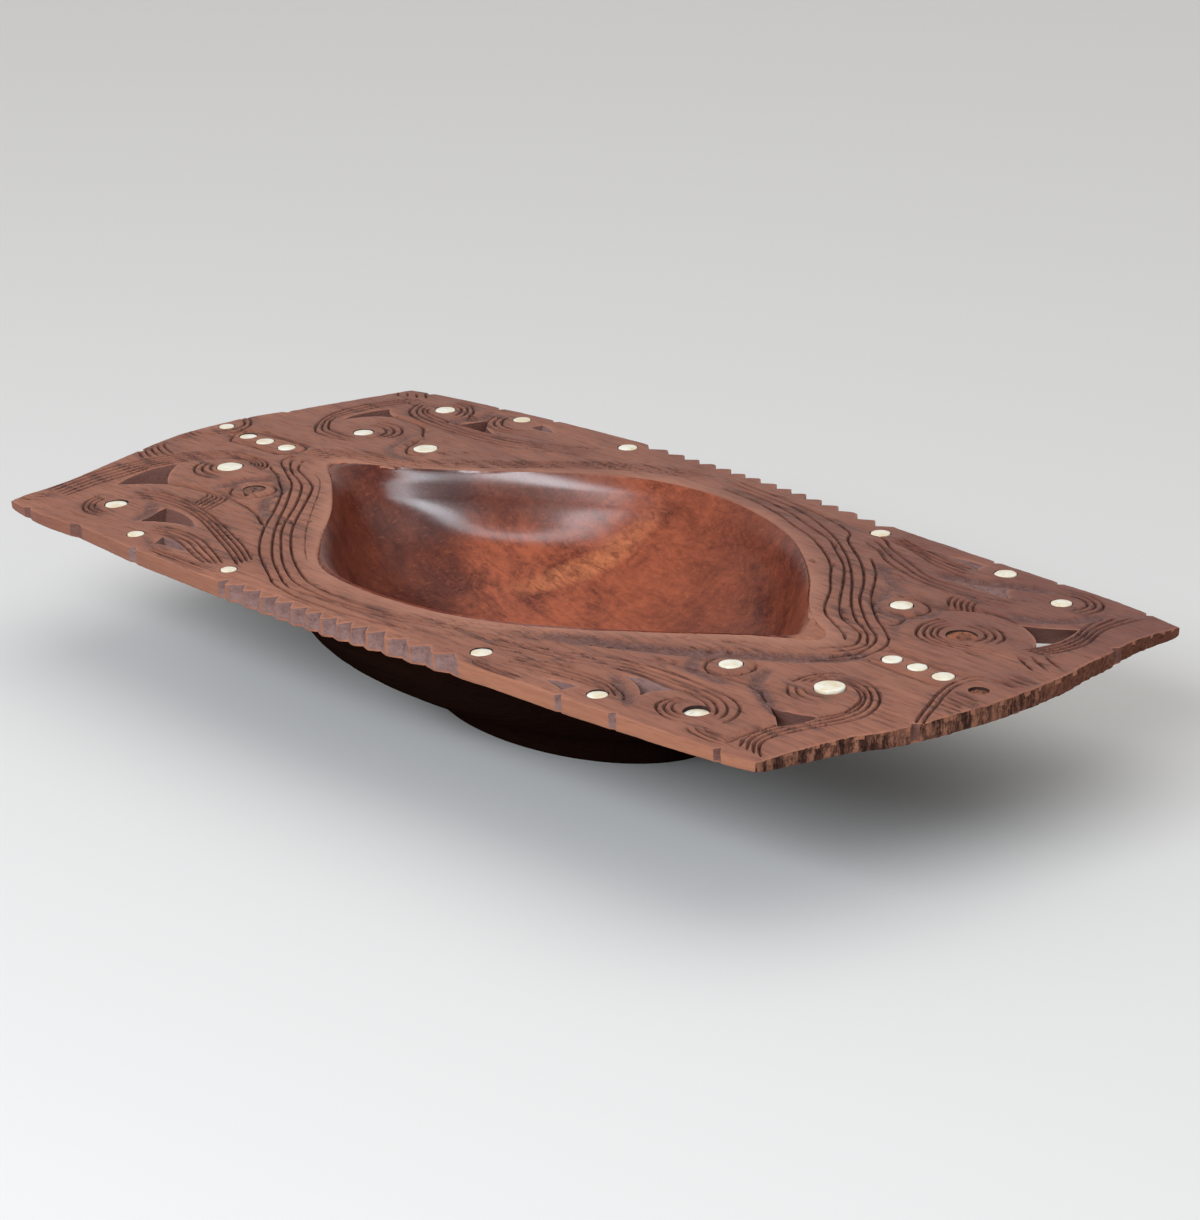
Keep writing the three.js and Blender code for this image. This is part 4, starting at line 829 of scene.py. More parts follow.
class Groove:
    """A groove's centre line, with its half width and depth at each point."""

    def __init__(self, points, half, depth, taper=2.5, sudden=False):
        self.points = smooth(points, 0.3)
        along = lengths(self.points)
        to_end = np.minimum(along, along[-1] - along)
        if sudden:
            to_end = along[-1] - along
            taper = along[-1]
        fade = np.clip(to_end / taper, 0, 1) ** 0.6
        self.half = half * (0.35 + 0.65 * fade)
        chatter = np.array([ripple(x * 0.25, y * 0.25, 7) for x, y in self.points])
        self.depth = depth * fade * (1 + 0.35 * chatter)

    def rails(self, shares, step=4):
        """The centre line and lines beside it, thinned out for meshing."""
        left = to_the_left(self.points)
        picks = sorted({*range(0, len(self.points), step), len(self.points) - 1})
        for share in shares:
            yield (self.points + left * (self.half * share)[:, None])[picks]


def grooves(deep):
    """All the carving on the rim, with its usual depth given."""
    found = []
    for count, first, last in BANDS.values():
        lines = band_lines(count, first, last)
        gap = np.median(np.linalg.norm(lines[1] - lines[0], axis=1))
        found += [Groove(line, min(BAND["half"], BAND["share"] * gap), deep) for line in lines]
    for table, half, share in SINGLE_LINES:
        found += [Groove(line, half, deep * share) for line in table.values()]
    for slips in CHIPS.values():
        found += [Groove(slip, CHIP["half"], deep * CHIP["depth"], sudden=True) for slip in slips]
    return found


def sunken_ground():
    """The strokes of sunken ground, and the rounding along the plates' edges."""
    strokes = [Groove(line, half, depth, taper=5) for half, depth, line in GROUNDS.values()]
    return strokes, [Groove(line, *VALLEY.values(), taper=4) for line in OUTLINES.values()]


def plan_tree(points):
    """A search tree over points in plan."""
    tree = KDTree(len(points))
    for i, (x, y) in enumerate(points):
        tree.insert((x, y, 0), i)
    tree.balance()
    return tree


class Strokes:
    """Finds how deep strokes cut at a place."""

    def __init__(self, strokes, every=1):
        points, self.half, self.depth = (
            np.concatenate([getattr(stroke, name)[::every] for stroke in strokes])
            for name in ("points", "half", "depth")
        )
        self.tree = plan_tree(points)

    def deepest(self, x, y, reach, section):
        """The deepest cut at a place. section gives a share of the depth from a distance in half
        widths."""
        deepest = 0.0
        for _, i, distance in self.tree.find_range((x, y, 0), reach):
            deepest = max(deepest, self.depth[i] * section(distance / self.half[i]))
        return deepest


def groove_section(out):
    shoulder = 0.3 * max(0, 1 - out / 2) ** 2
    return (1 - min(1, out)) ** 0.85 * 0.85 + shoulder


def sunken_section(out):
    """A flat bed with soft shoulders."""
    return ease(min(1, max(0, STROKE_SHOULDER * (1 - out))))


class Plan:
    """Points and lines in plan, to be joined up into triangles."""

    def __init__(self):
        self.points = []
        self.edges = []

    def line(self, points, closed=False):
        first = len(self.points)
        self.points.extend(points)
        count = len(points)
        ends = count if closed else count - 1
        self.edges.extend((first + i, first + (i + 1) % count) for i in range(ends))
        return range(first, first + count)

    def beside(self, loop, distances):
        """Closed lines at some distances to the left of a loop."""
        left = to_the_left(loop, closed=True)
        for distance in distances:
            self.line(loop + left * distance, closed=True)

    def fill(self, area, spacing, clearance, chance):
        """Loose points over an area, away from every line."""
        tree = plan_tree(self.points)
        (left, low), (right, high) = area.min(0), area.max(0)
        spots = []
        for row, y in enumerate(np.arange(low, high, spacing * 0.87)):
            for x in np.arange(left + (row % 2) * spacing / 2, right, spacing):
                spot = (x + chance.uniform(-0.2, 0.2), y + chance.uniform(-0.2, 0.2))
                if tree.find((*spot, 0))[2] > clearance:
                    spots.append(spot)
        spots = np.array(spots)
        self.points.extend(spots[inside(spots, area)])

    def triangles(self, edge, gaps, epsilon):
        """Joins everything up and keeps the triangles inside an edge and outside its gaps."""
        verts, _, faces, sources, _, _ = delaunay_2d_cdt(
            [Vector(p) for p in self.points], self.edges, [], 0, epsilon
        )
        points = np.array(verts)
        faces = np.array(faces)
        return points, faces[inside_sheet(points[faces].mean(1), edge, gaps)], sources


def border_loops(faces):
    """The open edges of a sheet of triangles, as loops of corners."""
    ways = {(a, b) for face in faces for a, b in zip(face, np.roll(face, -1))}
    follow = {a: b for a, b in ways if (b, a) not in ways}
    loops = []
    while follow:
        start, at = follow.popitem()
        loop = [start]
        while at != start:
            loop.append(at)
            at = follow.pop(at)
        loops.append(loop)
    return loops


class Nearest:
    """Finds the nearest point of some lines: its number and how far off it is."""

    def __init__(self, *loops):
        self.tree = plan_tree(np.vstack(loops))

    def __call__(self, point):
        return self.tree.find((*point, 0))[1:]


def dense(loop, step=0.35):
    """A closed loop with extra points along its straight runs."""
    closed = np.vstack([loop, loop[:1]])
    along = lengths(closed)
    return at_lengths(closed, along, np.arange(0, along[-1], step))


# The wooden body

TOP, POLISHED, SIDE, END, UNDER, CUT, DRILLED = range(7)
MARKS = ("carved", "worn", "busy", "ground")  # what the top's points tell its shader
# Where lines are meshed beside the mouth and the rim's edge, to their left, and how loose points
# fill what remains of the rim's top and its underside.
LIP_LINES = (0, -0.2, -0.5, -0.9, -1.5, -2.6)
EDGE_LINES = (0, 0.45, 1.0)
TOP_FILL = {"spacing": 1.9, "clearance": 0.75}
UNDER_FILL = {"spacing": 4.5, "clearance": 1.6}
# How far wear reaches in from the lip and from the edges, and how far round it carving counts.
WEAR = {"lip": 9, "edge": 1.0, "edge_depth": 0.35, "carving": 4}
GROUND_DEPTH = 0.7  # ground sunk this far looks wholly sunken
HOLLOW_SHARES = (
    0.9992, 0.9975, 0.992, 0.984, 0.974, 0.96, 0.942, 0.92, 0.894, 0.865, 0.832, 0.795, 0.755, 0.71,
    0.66, 0.605, 0.545, 0.48, 0.41, 0.335, 0.255, 0.17, 0.08,
)
HOLLOW_OPENNESS = 0.45  # 0 gives the hollow upright sides, 1 gives it sides that slope all the way
TIP_SOFTENING = (110, 60)  # rounds of evening out for the hollow's first ring and for each later
OVAL_FROM = 0.3  # share of the hollow's width over which its outline turns into an oval
# The hollow's wall starts less steeply under its lip: slopes of its first stretch and of the next,
# and how far in from the lip the second starts.
LIP_WALL = {"first": 1.85, "next": 3.6, "from": 2.6}
# The hollow starts as a shallow shelf at its right tip, beyond a line across it: how much of y
# counts in the line's place, that place, the shelf's depth and how steeply the hollow falls away.
# None of it is left of a last place along X.
SHELF = {"lean": 0.62, "place": 109.5, "depth": 2.6, "fall": 2.2, "right_of": 90}
# Rings down the rim's outer edge: share of its thickness, and how far in they lie.
SIDE_RINGS = ((0.1, 0), (0.3, 0.05), (0.52, 0.08), (0.74, 0.12), (0.9, 0.2), (1, 0.5))
END_FROM = 172  # the rough ends lie further out along X than this
ROUGHNESS = {"end": 0.55, "side": 0.14}  # how far tool marks move the edge in or out
HOLE_RINGS = (0.1, 0.5, 1)
UNDER_BEND = 1.36  # a higher number keeps the rim thin for longer on its way in
# Rings down the bowl's outside and its foot: shares of the way out, and chamfer and height.
BELLY_RINGS = (0.965, 0.93, 0.88, 0.8, 0.71, 0.62, 0.51, 0.4, 0.29, 0.18, 0.08, 0)
FOOT_RINGS = ((0, 5), (0, FOOT_CHAMFER), (FOOT_CHAMFER, 0))
CREASE = math.radians(48)  # a sharper edge than this is shaded as one


class Body:
    """The bowl's wood as one skin, built up from the carved top of the rim."""

    def __init__(self, settings):
        self.groove_depth = settings.groove_depth / METRES
        self.grooves = grooves(self.groove_depth)
        self.lip_radius = settings.lip_radius / METRES
        self.chance = random.Random(11)
        self.bm = bmesh.new()
        floats = self.bm.verts.layers.float
        self.marks = [floats.new(name) for name in MARKS]
        self.outline, self.thickness, self.relief = rim_edge(self.chance)
        self.mouth = mouth_edge(1.3)
        self.holes = {name: bent_triangle(pairs, 9) for name, pairs in PIERCED.items()}
        self.drilled = {
            name: circle(centre, radius + GAP, 30, 0.05, i)
            for i, (name, centre, radius) in enumerate(sockets())
        }

    def add_face(self, corners, material):
        face = self.bm.faces.new(corners)
        face.material_index = material
        face.smooth = True

    def top(self):
        """The carved face of the rim. Returns its open loops."""
        plan = Plan()
        for groove in self.grooves:
            for rail in groove.rails(GROOVE_RAILS):
                plan.line(rail)
        plan.beside(self.mouth, LIP_LINES)
        plan.beside(self.outline, EDGE_LINES)
        openings = [*self.holes.values(), *self.drilled.values()]
        for loop in openings:
            turn = 1 if np.cross(loop[1] - loop[0], loop[2] - loop[1]) > 0 else -1
            plan.beside(loop, (0, -0.5 * turn))
        plan.fill(self.outline, **TOP_FILL, chance=self.chance)
        points, faces, _ = plan.triangles(self.outline, [self.mouth, *openings], 0.01)
        used = np.unique(faces)
        verts = {}
        for i, (x, y), z, (depth, *marks) in zip(
            used, points[used], rim_top(points[used]), self.top_facts(points[used])
        ):
            vert = verts[i] = self.bm.verts.new((x, y, z - depth))
            for layer, mark in zip(self.marks, marks):
                vert[layer] = mark
        for face in faces:
            self.add_face([verts[i] for i in face], TOP)
        return [[verts[i] for i in loop] for loop in border_loops(faces)]

    def top_facts(self, points):
        """For each point of the top: how far below the rim's plain top it is, how deeply carved and
        worn, how close among the carving it lies, and how far it belongs to the sunken ground."""
        carving = Strokes(self.grooves)
        beds, valleys = (Strokes(strokes, 2) for strokes in sunken_ground())
        lip = Nearest(dense(self.mouth))
        edges = Nearest(dense(self.outline), *map(dense, self.holes.values()))
        for x, y in points:
            cut = carving.deepest(x, y, GROOVE_REACH, groove_section)
            bed, valley = (s.deepest(x, y, STROKE_REACH, sunken_section) for s in (beds, valleys))
            to_lip, to_edge = lip((x, y))[1], edges((x, y))[1]
            depth = cut + max(bed, valley)
            if bed > 0:
                depth += 0.22 * bed * ripple(x * 0.9, y * 0.9, 9)
            if to_lip < self.lip_radius:
                rise = math.sqrt(self.lip_radius**2 - (self.lip_radius - to_lip) ** 2)
                depth = max(depth, self.lip_radius - rise)
            worn = max(0, 1 - to_lip / WEAR["lip"], 1 - to_edge / WEAR["edge"])
            depth += WEAR["edge_depth"] * max(0, 1 - to_edge / WEAR["edge"]) ** 2
            depth += 0.12 + 0.12 * ripple(x * 0.11, y * 0.2, 1)
            depth += 0.05 * ripple(x * 0.5, y * 0.9, 5)
            busy = max(0, 1 - carving.tree.find((x, y, 0))[2] / WEAR["carving"])
            yield depth, min(1, cut / self.groove_depth), worn, busy, min(1, bed / GROUND_DEPTH)

    def sort_loops(self, loops):
        """Says which open loop of the top is which."""
        plans = [plan_of(loop) for loop in loops]
        edge, mouth, *rest = np.argsort([np.prod(np.ptp(plan, axis=0)) for plan in plans])[::-1]
        holes, drilled = [], []
        for i in rest:
            middle = plans[i].mean(0)
            name, centre, _ = min(sockets(), key=lambda s: np.linalg.norm(s[1] - middle))
            if np.linalg.norm(centre - middle) < 1:
                drilled.append((loops[i], name))
            else:
                holes.append(loops[i])
        return loops[edge], loops[mouth], holes, drilled

    def extrude(self, loop, place, material):
        """Draws a loop out by one ring. place gives each new corner from the old one's number."""
        ring = [self.bm.verts.new(place(i)) for i in range(len(loop))]
        for i in range(len(loop)):
            j = (i + 1) % len(loop)
            kind = material(i) if callable(material) else material
            self.add_face([loop[j], loop[i], ring[i], ring[j]], kind)
        return ring

    def close(self, ring, point, material):
        """Fills a ring with triangles round a middle point."""
        middle = self.bm.verts.new(point)
        for before, after in zip(ring, ring[1:] + ring[:1]):
            self.add_face([after, before, middle], material)

    def hollow(self, mouth):
        """The polished hollow, from the mouth down to its lowest point."""
        starts = plan_of(mouth)
        ends = oval(HOLLOW, starts)
        tops = rim_top(starts)
        ring = mouth
        for number, share in enumerate(HOLLOW_SHARES):
            for _ in range(TIP_SOFTENING[min(number, 1)]):
                starts = (np.roll(starts, 1, 0) + 2 * starts + np.roll(starts, -1, 0)) / 4
            plan = lerp(starts, ends, ease(min((1 - share) / OVAL_FROM, 1))) * share
            heights = lerp(FLOOR_HEIGHT, tops, lerp(round_rise(share), share**2, HOLLOW_OPENNESS))
            inward = (1 - share) * HOLLOW["half_width"]
            steeper = max(0, inward - LIP_WALL["from"]) * (LIP_WALL["next"] - LIP_WALL["first"])
            lip_depth = LIP_WALL["first"] * inward + steeper

            def place(i):
                x, y = plan[i]
                uneven = 0.8 * ripple(x * 0.035, y * 0.05, heights[i] * 0.05)
                z = max(heights[i], tops[i] - lip_depth) + uneven * (1 - share**8)
                if x > SHELF["right_of"]:
                    off = max(0, SHELF["place"] - x - SHELF["lean"] * y)
                    z = max(z, tops[i] - SHELF["depth"] - SHELF["fall"] * off)
                return x, y, z

            ring = self.extrude(ring, place, POLISHED)
        self.close(ring, (*HOLLOW["middle"], FLOOR_HEIGHT), POLISHED)

    def side_walls(self, edge):
        """The rim's outer edge, down to its underside. Returns the last ring and its thickness."""
        plan = plan_of(edge)
        left = to_the_left(plan, closed=True)
        nearest = Nearest(self.outline)
        matches = [nearest(p)[0] for p in plan]
        thick, relief = self.thickness[matches], self.relief[matches]
        cuts = np.linalg.norm(relief, axis=1)
        tops = rim_top(plan)
        step = np.abs(np.roll(plan, -1, 0) - plan)
        at_end = (np.abs(plan[:, 0]) > END_FROM) & (step[:, 0] < 0.6 * step[:, 1])
        roughness = np.where(at_end, ROUGHNESS["end"], ROUGHNESS["side"])

        def material(i):
            if cuts[i] + cuts[(i + 1) % len(plan)] > 0.25 and share < 0.95:
                return CUT
            # Painted highlight: each rough end takes the lighter side wood from its top down to a
            # ragged line, so that its edge looks lit.
            painted_lit_top = 0.2 + 0.45 * ripple(plan[i][1] * 0.35, 0, 2)
            return END if at_end[i] and share > painted_lit_top else SIDE

        ring = edge
        for share, inset in SIDE_RINGS:
            def place(i):
                x, y = plan[i] + left[i] * inset + relief[i] * share**1.6
                rough = roughness[i] * ripple(x * 0.55, y * 0.55, share * 4)
                return x + left[i][0] * rough, y + left[i][1] * rough, tops[i] - thick[i] * share

            ring = self.extrude(ring, place, material)
        return ring, thick

    def below(self, edge, thick, holes):
        """The rim's underside, the outside of the bowl and the foot."""
        grown = np.array([1 + WALL / HOLLOW["half_length"], 1 + WALL / HOLLOW["half_width"]])
        starts = mouth_edge(3.2)
        belly = starts * grown
        edge_plan = plan_of(edge)
        to_edge, to_belly = (Nearest(dense(loop, 1.0)) for loop in (edge_plan, belly))
        edge_index = Nearest(edge_plan)

        def height(point):
            out, into = to_edge(point)[1], to_belly(point)[1]
            share = out / max(1e-6, out + into)
            depth = lerp(thick[edge_index(point)[0]], RIM_ROOT, share**UNDER_BEND)
            return float(rim_top(np.array(point))) - depth

        plan = Plan()
        known = dict(zip(plan.line(edge_plan, closed=True), edge))
        gaps = [belly]
        for hole in holes:
            top = plan_of(hole)
            middle = top.mean(0)
            name = min(PIERCED, key=lambda n: np.linalg.norm(np.mean(PIERCED[n], axis=0) - middle))
            size, aside = HOLE_BOTTOMS[name]
            bottom = middle + (top - middle) * size + aside
            heights = [height(p) for p in bottom]
            tops = [vert.co.z for vert in hole]
            ring = hole
            for share in HOLE_RINGS:
                def place(i):
                    return *lerp(top[i], bottom[i], share), lerp(tops[i], heights[i], share)

                ring = self.extrude(ring, place, CUT)
            known.update(zip(plan.line(bottom, closed=True), ring))
            gaps.append(bottom)
        belly_heights = rim_top(belly) - RIM_ROOT
        ring = [self.bm.verts.new((*point, z)) for point, z in zip(belly, belly_heights)]
        known.update(zip(plan.line(belly, closed=True), ring))
        plan.fill(edge_plan, **UNDER_FILL, chance=self.chance)
        points, faces, sources = plan.triangles(edge_plan, gaps, 1e-6)
        verts = {}
        for i in np.unique(faces):
            old = [known[source] for source in sources[i] if source in known]
            verts[i] = old[0] if old else self.bm.verts.new((*points[i], height(points[i])))
        for face in faces:
            self.add_face([verts[i] for i in face[::-1]], UNDER)

        foot = oval(FOOT, starts)
        for share in BELLY_RINGS:
            corners = lerp(foot, belly, share)
            heights = lerp(FOOT_HEIGHT, belly_heights, lerp(round_rise(share), share, 0.25))
            ring = self.extrude(ring, lambda i: (*corners[i], heights[i]), UNDER)
        for shrink, z in FOOT_RINGS:
            corners = oval(FOOT, starts, shrink)
            ring = self.extrude(ring, lambda i: (*corners[i], z), UNDER)
        self.close(ring, (*FOOT["middle"], 0), UNDER)

    def socket(self, loop, name):
        centre = next(centre for other, centre, _ in sockets() if other == name)
        floor = float(rim_top(centre)) - SOCKET_DEPTH
        plan = plan_of(loop)
        ring = self.extrude(loop, lambda i: (*plan[i], floor), DRILLED)
        self.add_face(ring[::-1], DRILLED)

    def build(self):
        edge, mouth, holes, drilled = self.sort_loops(self.top())
        self.hollow(mouth)
        self.below(*self.side_walls(edge), holes)
        for loop, name in drilled:
            self.socket(loop, name)
        in_metres(self.bm)
        for edge in self.bm.edges:
            if edge.is_manifold and edge.calc_face_angle() > CREASE:
                edge.smooth = False
        return self.bm


# Shaders


def plug(tree, sockets, values):
    """Links or sets some of a node's inputs."""
    for key, value in values.items():
        if isinstance(value, Value):
            tree.links.new(value.socket, sockets[key])
        else:
            sockets[key].default_value = value


class Value:
    """The output of a shader node, with arithmetic that adds the nodes it needs."""

    def __init__(self, tree, socket=None):
        self.tree = tree
        self.socket = socket

    def node(self, kind, inputs=None, output=0, **settings):
        """Adds a node of a kind, with its settings and with values or links as its inputs."""
        made = self.tree.nodes.new(kind)
        for name, setting in settings.items():
            setattr(made, name, setting)
        plug(self.tree, made.inputs, inputs or {})
        return Value(self.tree, made.outputs[output])

    def maths(self, operation, *values):
        return self.node("ShaderNodeMath", dict(enumerate(values)), operation=operation)

    def __add__(self, other):
        return self.maths("ADD", self, other)

    def __mul__(self, other):
        return self.maths("MULTIPLY", self, other)

    def __sub__(self, other):
        return self.maths("SUBTRACT", self, other)

    def __rsub__(self, other):
        return self.maths("SUBTRACT", other, self)

    def __truediv__(self, other):
        return self.maths("DIVIDE", self, other)

    def __or__(self, other):
        return self.maths("MAXIMUM", self, other)

    def between(self, low, high):
        """The value, moved from one range to 0 to 1 and kept inside it."""
        inputs = {"Value": self, "From Min": low, "From Max": high, "To Min": 0, "To Max": 1}
        return self.node("ShaderNodeMapRange", inputs)

    def mix(self, low, high):
        """A colour between two others, by this value."""
        inputs = {"Factor": self, 6: low, 7: high}
        return self.node("ShaderNodeMix", inputs, output=2, data_type="RGBA")

    def scaled(self, *factors):
        return self.node("ShaderNodeVectorMath", {0: self, 1: factors}, operation="MULTIPLY")

    def noise(self, detail, roughness, distortion=0.0):
        inputs = {"Vector": self, "Scale": 1.0, "Detail": detail, "Roughness": roughness}
        return self.node("ShaderNodeTexNoise", {**inputs, "Distortion": distortion})

    def axis(self, name):
        return self.node("ShaderNodeSeparateXYZ", {"Vector": self}, output=name)

    def bump(self, distance):
        inputs = {"Height": self, "Distance": distance, "Strength": 1.0}
        return self.node("ShaderNodeBump", inputs)


class Finish:
    """A material with its main shader, whose sockets take values or links."""

    def __init__(self, name):
        self.material = bpy.data.materials.new(name)
        self.material.use_nodes = True
        self.tree = self.material.node_tree
        self.shader = self.tree.nodes["Principled BSDF"]

    def place(self):
        return Value(self.tree).node("ShaderNodeTexCoord", output="Object")

    def attribute(self, name):
        return Value(self.tree).node("ShaderNodeAttribute", output="Fac", attribute_name=name)

    def set(self, **values):
        named = {key.replace("_", " "): value for key, value in values.items()}
        plug(self.tree, self.shader.inputs, named)


def linear(*colour):
    """A screen colour of 0 to 255 as the linear colour that shaders take."""
    parts = [c / 255 for c in colour]
    return tuple(p / 12.92 if p <= 0.04045 else ((p + 0.055) / 1.055) ** 2.4 for p in parts) + (1,)


# How much finer than a metre a wood's figure, streaks and pores are, along its grain and across it.
LONG_GRAIN = ((9, 75, 75), (22, 520, 520), (120, 1500, 1500))
END_GRAIN = ((110, 110, 110), (260, 260, 260), (700, 700, 700))
PORE_SHADE = 0.35  # colour of the pores, as a share of the wood's dark colour


class Wood(Finish):
    """Timber with its grain along X. light and dark are its two colours."""

    def __init__(
        self, name, light, dark, shine, streaks=0.5, pores=0.5, relief=0.0002, grain=LONG_GRAIN
    ):
        super().__init__(name)
        figure, streak, pore = (self.place().scaled(*stretch) for stretch in grain)
        self.streak = streak.noise(3, 0.6)
        self.pits = pore.noise(2, 0.5).between(0.56, 0.68)
        tone = (
            figure.noise(4, 0.55, 0.6).between(0.3, 0.7) * (1 - streaks)
            + self.streak.between(0.3, 0.7) * streaks
        )
        self.colour = tone.mix(dark, light)
        pore_colour = (*(c * PORE_SHADE for c in dark[:3]), 1)
        self.set(
            Base_Color=(self.pits * pores).mix(self.colour, pore_colour),
            Roughness=self.pits * 0.25 + (shine - 0.05) + tone * 0.1,
            Normal=(self.streak * 0.5 + (1 - self.pits) * 0.5).bump(relief),
        )


def rim_wood(colours):
    """The carved rim: worn lighter at its edges and its lip, and dark down in its grooves."""
    rim = Wood("rim_wood", colours.rim_light, colours.rim_dark, shine=0.55, streaks=0.6)
    carved, worn, busy, ground = map(rim.attribute, MARKS)
    place = rim.place()
    patchy = place.scaled(24, 60, 40).noise(4, 0.65).between(0.4, 0.62)
    cracks = place.scaled(60, 420, 420).noise(3, 0.6, 0.4).between(0.52, 0.66)
    stipple = place.scaled(420, 420, 420).noise(4, 0.65).between(0.36, 0.62)
    back = place.axis("Y").between(0.0, 0.07) * 0.3
    far_corner = back * place.axis("X").between(0.02, 0.12) * 1.5
    colour = rim.colour
    for share, over in (
        (rim.pits * 0.3, colours.groove),
        (patchy * 0.4 + back + far_corner, colours.aged),
        (busy * (cracks * 0.5 + 0.14) + cracks * 0.22, colours.groove),
        (worn * (patchy * -0.3 + 0.6), colours.worn),
        (ground * (stipple * 0.45 + 0.25), colours.ground),
        (ground * (1 - stipple) * 0.5, colours.groove),
        (carved.between(0.15, 0.95) * 0.8, colours.groove),
    ):
        colour = share.mix(colour, over)
    relief = rim.streak * 0.5 + (1 - cracks) * (busy * 0.6 + 0.15) + ground * stipple * 1.4
    rim.set(Base_Color=colour, Normal=relief.bump(0.0005), Specular_IOR_Level=0.35)
    return rim


def hollow_wood(colours):
    """The polished hollow: deep red-brown, with a painted dark reflection at its left and painted
    darker wood under its highlight, and a streak of paler timber.
    """
    hollow = Finish("hollow_wood")
    place = hollow.place()
    x, y, z = map(place.axis, "XYZ")
    wander = place.scaled(22, 22, 22).noise(5, 0.65, 0.5)
    mottle = place.scaled(60, 60, 60).noise(6, 0.72, 0.7).between(0.38, 0.62)
    fibres = place.scaled(130, 420, 300).noise(5, 0.72, 1.0).between(0.38, 0.62)
    flecks = place.scaled(700, 260, 700).noise(3, 0.6).between(0.57, 0.7)
    # The paler streak runs across the back wall, aslant.
    along = (x * 0.587 + y * 0.81 - 0.013) / 0.024
    across = (x * 0.81 - y * 0.587 + 0.0535) / 0.0042
    streak = (along * along + across * across + (wander - 0.5) * 3).between(1.5, 0.1)
    # Beyond this line the left part of the hollow is darker, as a painted dark reflection in the
    # polished wall. The right part is painted lighter, as a brighter reflection.
    painted_reflection_side = (x * 0.653 + y * 0.757 + 0.0325 + (wander - 0.5) * 0.006).between(-0.004, 0.003)
    middle = (x + (wander - 0.5) * 0.12).between(0.04, -0.04)
    # The left end of the back wall, high up, is polished most. Its base colour is also darkened
    # there, as a painted reflection under the lamp's highlight.
    polish_and_painted_reflection = z.between(0.033, 0.046) * y.between(-0.005, 0.015)
    polish_and_painted_reflection = polish_and_painted_reflection * x.between(-0.03, -0.056) * x.between(-0.107, -0.09)
    tone = mottle * 0.5 + fibres * 0.4 + wander.between(0.4, 0.6) * 0.5 - 0.2
    middle = middle * painted_reflection_side
    shade = tone * (painted_reflection_side * 0.12 + middle * 0.55 + 0.4) + middle * 0.16
    # Painted reflection: the wood is darkened under the polished patch, so the highlight on it
    # reads dark maroon and bluish.
    wood = (shade * (1 - polish_and_painted_reflection * 0.5)).mix(colours.hollow_dark, colours.hollow_light)
    streaky = (streak * (fibres * 0.5 + 0.2) + flecks * 0.16).mix(wood, colours.hollow_patch)
    shelf = (x + y * SHELF["lean"]).between(0.107, 0.111)
    shelf_wood = (fibres * 0.5 + mottle * 0.3).mix(colours.rim_dark, colours.worn)
    hollow.set(
        Base_Color=shelf.mix(streaky, shelf_wood),
        Roughness=shelf * 0.3 + fibres * 0.06 + 0.3,
        Normal=fibres.bump(0.00003),
        Specular_IOR_Level=0.12,
        Coat_Weight=(polish_and_painted_reflection * 0.95 + 0.05) * (1 - shelf),
        Coat_Roughness=0.24,
        Coat_IOR=1.62,
        # Painted reflection: the coat's blue tint cools the wood where the coat is thick, under the
        # highlight.
        Coat_Tint=(0.8, 0.9, 1, 1),
    )
    return hollow


def side_wood(colours):
    """The rim's long edges, darker towards their left."""
    side = Wood("side_wood", colours.edge, colours.rim_dark, shine=0.6, pores=0.3)
    darker = side.place().axis("X").between(0.0, -0.16) * 0.65
    side.set(Base_Color=darker.mix(side.colour, colours.aged))
    return side


def end_wood(colours):
    """The rim's rough ends: dark spots and figure, and plainer wood towards the back."""
    end = Wood(
        "end_wood", colours.end, linear(34, 21, 19), shine=0.85, pores=0.95, relief=0.0012,
        grain=END_GRAIN,
    )
    place = end.place()
    figure = place.scaled(90, 380, 60).noise(5, 0.75).between(0.42, 0.58)
    spots = place.scaled(500, 700, 500).noise(3, 0.6).between(0.5, 0.62)
    grain = (spots * 0.55).mix(figure.mix(linear(62, 38, 32), colours.end), linear(26, 15, 13))
    plain = place.axis("Y").between(0.0, 0.03) * 0.75
    end.set(Base_Color=plain.mix(grain, linear(104, 62, 48)), Specular_IOR_Level=0.1)
    return end


def under_wood_painted_shade(colours):
    # Painted shade: the underside and the foot are coloured near black, as if in shadow, and given
    # no sheen.
    under = Wood("under_wood_painted_shade", colours.belly, linear(22, 12, 9), shine=0.6, pores=0.3)
    under.set(Specular_IOR_Level=0.0)
    return under


def cut_wood(colours):
    """The faces of the notches and openings, darker towards both ends of the bowl."""
    cut = Wood("cut_wood", colours.cut, linear(104, 72, 66), shine=0.75, pores=0.3, relief=0.0003)
    x = cut.place().axis("X")
    old = (x.between(-0.106, -0.11) + x.between(0.14, 0.15)) * 0.8
    cut.set(Base_Color=old.mix(cut.colour, linear(100, 57, 45)))
    return cut


def drilled_wood(_):
    return Wood("drilled_wood", linear(60, 34, 26), linear(40, 22, 18), shine=0.8)


def shell_finish(colours):
    finish = Finish("shell")
    place = finish.place()
    cloud = place.scaled(220, 220, 220).noise(3, 0.5).between(0.35, 0.7)
    specks = place.scaled(900, 250, 300).noise(2, 0.5).between(0.62, 0.72) * 0.35
    colour = specks.mix(cloud.mix(colours.shell, linear(224, 204, 162)), linear(150, 120, 84))
    finish.set(Base_Color=colour, Roughness=0.3, Coat_Weight=0.3)
    return finish


def resin_finish(colours):
    finish = Finish("resin")
    cloud = finish.place().scaled(500, 500, 500).noise(4, 0.6)
    colour = cloud.between(0.35, 0.65).mix(colours.resin, linear(52, 28, 18))
    finish.set(Base_Color=colour, Roughness=cloud * 0.3 + 0.4, Normal=cloud.bump(0.0006))
    return finish


